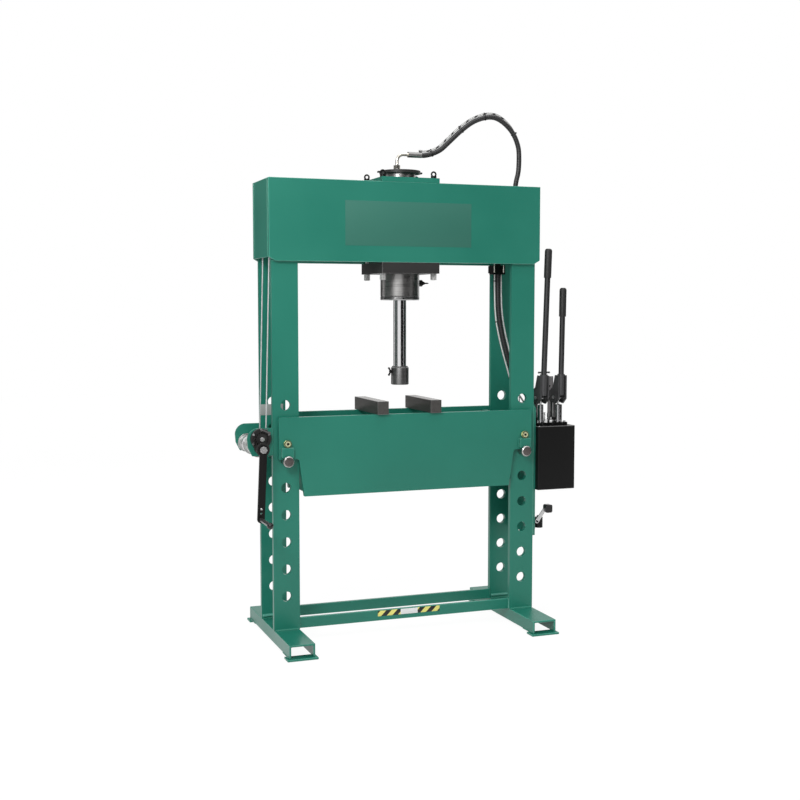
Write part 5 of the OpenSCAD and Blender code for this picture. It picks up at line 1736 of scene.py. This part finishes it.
    def rope(self, name: str, points: List[Vector]) -> bpy.types.Object:
        """Builds one stranded rope.

        Args:
            name: the piece's name.
            points: its centre line.

        Returns:
            The rope.
        """
        stock = Stock()
        stock.tube(points, self.rope_r, sides=18, lobes=self.strands, depth=self.strand_depth,
                   lay=self.strand_lay)
        return self.smith.finish(stock, name, Coat.ROPE, smooth_deg=self.smith.cord_smooth_deg)

    def ropes(self) -> None:
        """Builds the two lifting ropes and their drops to the bed."""
        (left_x, right_x), (left_y, right_y) = self.sheave_x, self.lanes
        first = self.rise(left_y) + self.wrap(left_x, left_y, self.wrap_start_deg, 0.0)
        second = self.rise(right_y) + self.wrap(left_x, right_y, self.wrap_start_deg, self.wrap_top_deg)
        top, steps = self.sheave_z + self.sheave_r, self.straight_steps
        second += [Vector((left_x + (right_x - left_x) * t / steps, right_y, top)) for t in range(1, steps)]
        second += self.wrap(right_x, right_y, self.wrap_top_deg, 0.0)
        left = self.rope("lift_rope_left", first)
        self.rope("lift_rope_right", second)
        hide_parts("lift_ropes")
        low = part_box("rope_drops")[0].z
        for name, x, y in zip(("rope_drop_left", "rope_drop_right"), self.drop_x, self.lanes):
            drop = self.rope(name, [Vector((x, y, self.sheave_z + (low - self.sheave_z) * t / steps))
                                    for t in range(steps + 1)])
            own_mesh(drop)
            if name == "rope_drop_left":
                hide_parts("rope_drops")

    def build(self) -> None:
        """Dresses the winch and lays the ropes."""
        s = self.smith
        for node in ("winch_front_plate", "winch_rear_plate"):
            s.soften(node, Coat.GREEN)
        s.soften("brake_housing", Coat.SATIN)
        s.soften("winch_drum", Coat.ZINC)
        low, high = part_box("crank")
        s.soften("crank", Coat.BLACK, [
            Inlay("bright_steel", tuple(low), (high.x, self.crank_arm[0] - self.arm_skin, high.z))])
        low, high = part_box("crank_grip")
        s.soften("crank_grip", Coat.KNOB, [
            Inlay("turned_dark", (low.x, low.y + self.ball_len, low.z), tuple(high))])
        self.ratchet()
        self.brake_bolts()
        self.pawl()
        self.crank_trim()
        self.winch_welds()
        s.paint("sheave_shafts", "mill_dark")
        for node in ("sheaves_left", "sheave_right"):
            s.paint(node, "zinc_plate")
        self.ropes()


@dataclass
class Pump:
    """The two-lever hand pump on its tank, and the release valve."""

    smith: Smith
    pumps: Pair = (0.644, 0.731)
    post_y: float = -0.067
    plunger_y: float = -0.018
    pivot_z: float = 0.985
    base_z: float = 0.877
    socket_top: float = 1.128
    knob: Point = (0.642, -0.118, 0.481)
    knob_box: Tuple[Point, Point] = ((-0.004, -0.03, -0.0005), (0.06, 0.03, 0.06))
    top_skin: float = 0.0002
    over: float = 0.0005
    past: float = 0.01
    post_half: float = 0.012
    glands_y: float = 0.020
    bore: float = 0.0052
    sleeve_gap: float = 0.004
    sleeve_r: Point = (0.0155, 0.0125, 0.011)
    sleeve_foot: Pair = (0.006, 0.008)
    sleeve_chamfer: float = 0.002
    nut_x: float = 0.0228
    pivot_nut: Pair = (0.016, 0.0055)
    port: Pair = (0.690, -0.078)
    port_nut: Pair = (0.019, 0.009)
    port_stem: Pair = (0.0045, 0.022)
    plug: Pair = (0.676, 0.022)
    plug_nut: Pair = (0.017, 0.012)
    plug_dome: Pair = (0.005, 0.005)
    base_screw: Pair = (0.0055, 0.006)
    screw_x: Pair = (0.622, 0.753)
    screw_y: Pair = (-0.085, 0.052)
    gland_r: Pair = (0.018, 0.0205)
    gland_profile: Tuple[Pair, ...] = ((-0.004, 0.0), (0.001, 0.0), (0.001, 0.006), (-0.0005, 0.008),
                                       (-0.0005, 0.0165), (-0.0035, 0.0175))
    front_plugs: Point = (0.640, 0.690, 0.738)
    front_plug_y: Pair = (-0.0955, -0.0935)
    front_plug_r: float = 0.004
    front_plug_drop: float = 0.006
    stay_x: float = 0.7465
    stay_back: float = 0.002
    stay_short: float = 0.032
    stay_r: float = 0.0022
    spring: Pair = (0.672, -0.045)
    spring_r: float = 0.006
    spring_turns: int = 8
    spring_h: float = 0.040
    spring_lift: float = 0.002
    spring_wire_r: float = 0.0011
    clip_x: float = 0.0226
    clip_r: Pair = (0.0046, 0.0085)
    clip_t: float = 0.001
    tank_inset: float = 0.008
    tank_screw: Pair = (0.0045, 0.0025)
    plate_inset: Pair = (0.02, 0.03)
    plate_bolt: Pair = (0.016, 0.008)
    plate_seam: Seam = Seam(0.0032)
    label_drop: float = 0.026
    label_rim: float = 0.003
    label_rim_r: float = 0.0006
    label_rivet: float = 0.007
    label_rivet_size: Pair = (0.0025, 0.001)
    label_stay_r: float = 0.003
    label_stay: Tuple[Pair, Pair] = ((0.012, 0.012), (0.040, 0.044))
    label_stay_y: float = 0.010

    def sleeves(self) -> None:
        """Adds the polished guide sleeves round the pivot posts."""
        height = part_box("lever_left")[0].z - self.sleeve_gap - self.base_z
        foot, shank, mouth = self.sleeve_r
        profile = [(self.bore, 0.0), (foot, 0.0), (foot, self.sleeve_foot[0]), (shank, self.sleeve_foot[1]),
                   (shank, height - self.sleeve_chamfer), (mouth, height), (self.bore, height)]
        for name, x in zip(("guide_sleeve_left", "guide_sleeve_right"), self.pumps):
            stock = Stock()
            stock.lathe(profile, (x, self.post_y, self.base_z))
            self.smith.finish(stock, name, Coat.POLISHED)

    def fasteners(self) -> None:
        """Adds the pivots' nuts, the base's port, plug and screws."""
        up, base = (0, 0, 1), self.base_z
        bright = Stock()
        for x in self.pumps:
            for way in SIDES:
                foot = (x + way * self.nut_x, self.post_y, self.pivot_z)
                bright.hexagon(foot, (way, 0, 0), *self.pivot_nut)
        stem_r, stem_h = self.port_stem
        bright.hexagon((*self.port, base), up, *self.port_nut)
        bright.rod((*self.port, base), (*self.port, base + stem_h), stem_r, sides=20)
        bright.hexagon((*self.plug, base), up, *self.plug_nut)
        bright.dome((*self.plug, base + self.plug_nut[1]), up, *self.plug_dome)
        screw_r, screw_h = self.base_screw
        for x in self.screw_x:
            for y in self.screw_y:
                bright.rod((x, y, base), (x, y, base + screw_h), screw_r, sides=24)
        self.smith.finish(bright, "pump_fasteners", Coat.BRIGHT)

    def collars(self) -> None:
        """Adds the gland nuts, the base's front plugs and the thin stay beside the right post."""
        base = self.base_z
        dark = Stock()
        for x, r in zip(self.pumps, self.gland_r):
            profile = [(r + out, z) for out, z in self.gland_profile]
            dark.lathe(profile, (x, self.plunger_y, base), steps=40)
        for x in self.front_plugs:
            front, back = ((x, y, base - self.front_plug_drop) for y in self.front_plug_y)
            dark.rod(front, back, self.front_plug_r, sides=20)
        x, y = self.stay_x, self.post_y - self.stay_back
        dark.rod((x, y, base), (x, y, self.pivot_z - self.stay_short), self.stay_r, sides=12)
        self.smith.finish(dark, "pump_collars", Coat.SATIN)

    def return_spring(self) -> None:
        """Winds the return spring on the base."""
        (x, y), r = self.spring, self.spring_r
        steps = 16
        coil = []
        for k in range(steps * self.spring_turns + 1):
            angle = 2 * math.pi * k / steps
            z = self.base_z + self.spring_lift + self.spring_h * k / (steps * self.spring_turns)
            coil.append(Vector((x + r * math.cos(angle), y + r * math.sin(angle), z)))
        stock = Stock()
        stock.tube(coil, self.spring_wire_r, sides=8)
        self.smith.finish(stock, "return_spring", Coat.BRIGHT)

    def clips(self) -> None:
        """Puts the clips on the plungers' pins."""
        inner, outer = self.clip_r
        for x, body in zip(self.pumps, ("plunger_left", "plunger_right")):
            stock = Stock()
            for way in SIDES:
                end = way * self.clip_t
                stock.lathe([(inner, 0.0), (outer, 0.0), (outer, end), (inner, end)],
                            (x + way * self.clip_x, self.plunger_y, self.pivot_z), Axis.X, 24)
            self.smith.finish(stock, body + "_clips", Coat.ZINC, body)

    def tank_trim(self) -> None:
        """Adds the tank's lid screws, the mounting bolts and the mounting plate's beads."""
        low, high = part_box("tank")
        screws, bolts, beads = Stock(), Stock(), Stock()
        for x in (low.x + self.tank_inset, high.x - self.tank_inset):
            for y in (low.y + self.tank_inset, high.y - self.tank_inset):
                screws.dome((x, y, high.z), (0, 0, 1), *self.tank_screw)
        self.smith.finish(screws, "tank_screws", Coat.BRIGHT)
        low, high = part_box("pump_plate")
        inset_y, inset_z = self.plate_inset
        for y in (low.y + inset_y, high.y - inset_y):
            for z in (high.z - inset_z, low.z + inset_z):
                bolts.hexagon((high.x, y, z), (1, 0, 0), *self.plate_bolt)
        self.smith.finish(bolts, "plate_bolts", Coat.ZINC)
        seam = self.plate_seam
        for y in (low.y, high.y):
            beads.bead(low.x, y, (low.z + seam.inset, high.z - seam.inset), seam.radius)
        self.smith.finish(beads, "pump_plate_welds", Coat.WELD)

    def label(self) -> None:
        """Adds the bare plate's border, rivets and the small stay in front of it."""
        low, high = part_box("label_plate")
        bottom, front = self.pivot_z - self.label_drop, low.y

        def corners(inset: float) -> List[Pair]:
            """The plate's corners, moved inwards."""
            left, right, foot, top = low.x + inset, high.x - inset, bottom + inset, high.z - inset
            return [(left, foot), (right, foot), (right, top), (left, top)]

        rim, rivets = Stock(), Stock()
        ring = corners(self.label_rim)
        for (x0, z0), (x1, z1) in zip(ring, ring[1:] + ring[:1]):
            rim.rod((x0, front, z0), (x1, front, z1), self.label_rim_r, sides=8)
        y = front - self.label_stay_y
        foot, top = ((low.x + dx, y, self.pivot_z + dz) for dx, dz in self.label_stay)
        rim.rod(foot, top, self.label_stay_r, sides=12)
        rim.rod(top, (top[0], front, top[2]), self.label_stay_r, sides=12)
        self.smith.finish(rim, "label_rim", Coat.BLACK)
        for x, z in corners(self.label_rivet):
            rivets.dome((x, front, z), (0, -1, 0), *self.label_rivet_size)
        self.smith.finish(rivets, "label_rivets", Coat.BRIGHT)

    def build(self) -> None:
        """Dresses the pump's nodes and adds its small parts."""
        s = self.smith
        s.soften("pump_plate", Coat.GREEN)
        # The tank's rounded edges get a grey: painted highlight.
        s.soften("tank", Coat.BLACK, edge="black_edge_highlight")
        low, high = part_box("pump_base")
        skin, over, past = self.top_skin, self.base_z + self.over, high.z + self.past
        s.soften("pump_base", Coat.BLACK, [
            Inlay("gloss_black", (low.x, low.y, self.base_z - skin), (high.x, high.y, self.base_z + skin)),
            Inlay("bright_steel", (low.x, self.post_y - self.post_half, over),
                  (high.x, self.post_y + self.post_half, past)),
            Inlay("zinc_plate", (low.x, self.glands_y, over), (high.x, high.y, past))])
        s.soften("tank_breather", Coat.TURNED)
        s.soften("label_plate", Coat.LABEL)
        for node in ("plunger_left", "plunger_right"):
            s.soften(node, Coat.TURNED)
        for node in ("lever_left", "lever_right"):
            low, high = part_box(node)
            # The forks' rounded edges get polished steel: painted highlight.
            s.soften(node, Coat.FORK, edge="polished_steel_and_edge_highlight", inlays=[
                Inlay("blue_black_steel", (low.x, low.y, self.socket_top), tuple(high))])
        for node in ("lever_left_grip", "lever_right_grip"):
            s.soften(node, Coat.GRIP)
        s.soften("valve_body", Coat.BLACK)
        corners = (tuple(Vector(self.knob) + Vector(corner)) for corner in self.knob_box)
        s.soften("release_lever", Coat.BRIGHT, [Inlay("black_knob", *corners)])
        self.sleeves()
        self.fasteners()
        self.collars()
        self.return_spring()
        self.clips()
        self.tank_trim()
        self.label()


def main() -> None:
    """Builds the studio and the sub-assemblies in order."""
    logging.basicConfig(level=logging.INFO, format="%(name)s: %(message)s")
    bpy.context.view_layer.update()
    Studio().build()
    smith = Smith()
    for kind in (HoseRun, Weldment, Cylinder, Bed, LiftingGear, Pump):
        kind(smith).build()
        log.info("%s is dressed", kind.__name__)
    bpy.context.view_layer.update()


if __name__ == "__main__":
    main()
